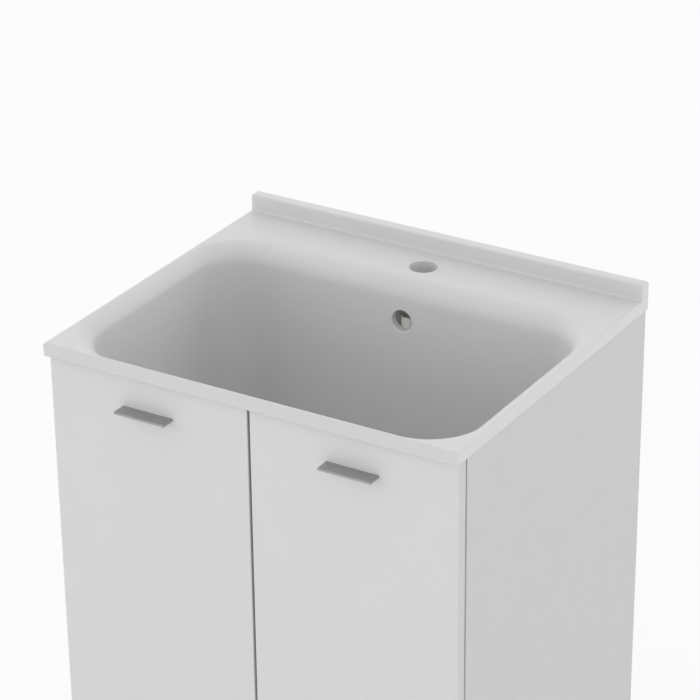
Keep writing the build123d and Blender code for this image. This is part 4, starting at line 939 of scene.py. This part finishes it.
makeFlange()
makeStrainer()
makeWasteBody()
makeNuts()
makeTrap()
makeOverflow()
makeLegs()
print("waste, trap, overflow and legs made")


studio = {
    "floorHalf": 30, "floorColour": 0.9, "seenWhite": 0.99, "floorShare": 0.8, "strength": 2.03,
    "sky": ((0.0, 0.88), (0.2, 0.9), (0.4, 0.56), (0.6, 0.46), (0.8, 0.4), (1.0, 0.45)),
    "strongFrom": (-0.62, 0.9, 0.0), "unevenness": 0.32,
}


def seenDirectly(tree):
    # 1 for rays from the camera, off gloss or through clear things, which see the plain white background.
    rays = addNode(tree, "LightPath").outputs
    first = mathNode(tree, "MAXIMUM", rays["Is Camera Ray"], rays["Is Glossy Ray"])
    return mathNode(tree, "MAXIMUM", first, rays["Is Transmission Ray"])


def makeStudio():
    half = studio["floorHalf"]
    mesh = bpy.data.meshes.new("floor")
    corners = [(-half, -half, 0), (half, -half, 0), (half, half, 0), (-half, half, 0)]
    mesh.from_pydata(corners, [], [(0, 1, 2, 3)])
    floor = bpy.data.objects.new("floor", mesh)
    scene.collection.objects.link(floor)
    material = bpy.data.materials.new("floorPale")
    tree = emptyTree(material)
    pale = addNode(tree, "BsdfDiffuse", Color=grey(studio["floorColour"]))
    white = addNode(tree, "Emission", Color=grey(studio["seenWhite"]), Strength=1.0)
    share = mathNode(tree, "MULTIPLY", seenDirectly(tree), studio["floorShare"])
    mix = addNode(tree, "MixShader", i0=share, i1=pale.outputs[0], i2=white.outputs[0])
    tree.links.new(mix.outputs[0], addNode(tree, "OutputMaterial").inputs[0])
    mesh.materials.append(material)

    world = bpy.data.worlds.new("softRoom")
    scene.world = world
    tree = emptyTree(world)
    # Soft light from all round, strongest low down and from behind, so that hollows and fronts stay darker.
    toward = addNode(tree, "TexCoord").outputs["Generated"]
    height = addNode(tree, "SeparateXYZ", Vector=toward).outputs["Z"]
    ramp = addNode(tree, "ValToRGB", i0=height)
    stops = ramp.color_ramp.elements
    while len(stops) < len(studio["sky"]):
        stops.new(0.5)
    for stop, (place, level) in zip(stops, studio["sky"]):
        stop.position = place
        stop.color = grey(level)
    facing = addNode(tree, "VectorMath", {"operation": "DOT_PRODUCT"}, i0=toward, i1=studio["strongFrom"])
    uneven = studio["unevenness"]
    gain = spread(tree, facing.outputs["Value"], 1 - uneven, 1 + uneven, -1, 1)
    lit = addNode(tree, "Background", Color=ramp.outputs[0],
                  Strength=mathNode(tree, "MULTIPLY", gain, studio["strength"]))
    seen = addNode(tree, "Background", Color=grey(studio["seenWhite"]), Strength=1.0)
    mix = addNode(tree, "MixShader", i0=seenDirectly(tree), i1=lit.outputs[0], i2=seen.outputs[0])
    tree.links.new(mix.outputs[0], addNode(tree, "OutputWorld").inputs[0])


shot = {"azimuth": 30.3007, "elevation": 29.3478, "roll": -0.1327, "distance": 4.078489,
        "aside": -0.065721, "upward": 0.289868, "focal": 3186.413 / 700, "shift": (-0.07553, 0.27874),
        "aimY": 0.00875}


def makeCamera():
    azimuth, elevation, roll = (math.radians(shot[key]) for key in ("azimuth", "elevation", "roll"))
    back = np.array([math.sin(azimuth) * math.cos(elevation), -math.cos(azimuth) * math.cos(elevation),
                     math.sin(elevation)])
    right = np.array([math.cos(azimuth), math.sin(azimuth), 0])
    up = np.cross(back, right)
    aim = np.array([0, shot["aimY"], deckTop])
    place = aim + back * shot["distance"] - right * shot["aside"] - up * shot["upward"]
    turnedRight = right * math.cos(roll) + up * math.sin(roll)
    turnedUp = up * math.cos(roll) - right * math.sin(roll)
    data = bpy.data.cameras.new("photoCamera")
    data.sensor_width = 36
    data.lens = shot["focal"] * data.sensor_width
    data.shift_x, data.shift_y = shot["shift"]
    data.clip_end = 200
    camera = bpy.data.objects.new("photoCamera", data)
    scene.collection.objects.link(camera)
    pose = np.identity(4)
    pose[:3, 0], pose[:3, 1], pose[:3, 2], pose[:3, 3] = turnedRight, turnedUp, back, place
    camera.matrix_world = Matrix(pose.tolist())
    scene.camera = camera


makeStudio()
makeCamera()
scene.view_settings.view_transform = "Standard"
print("studio and camera ready")
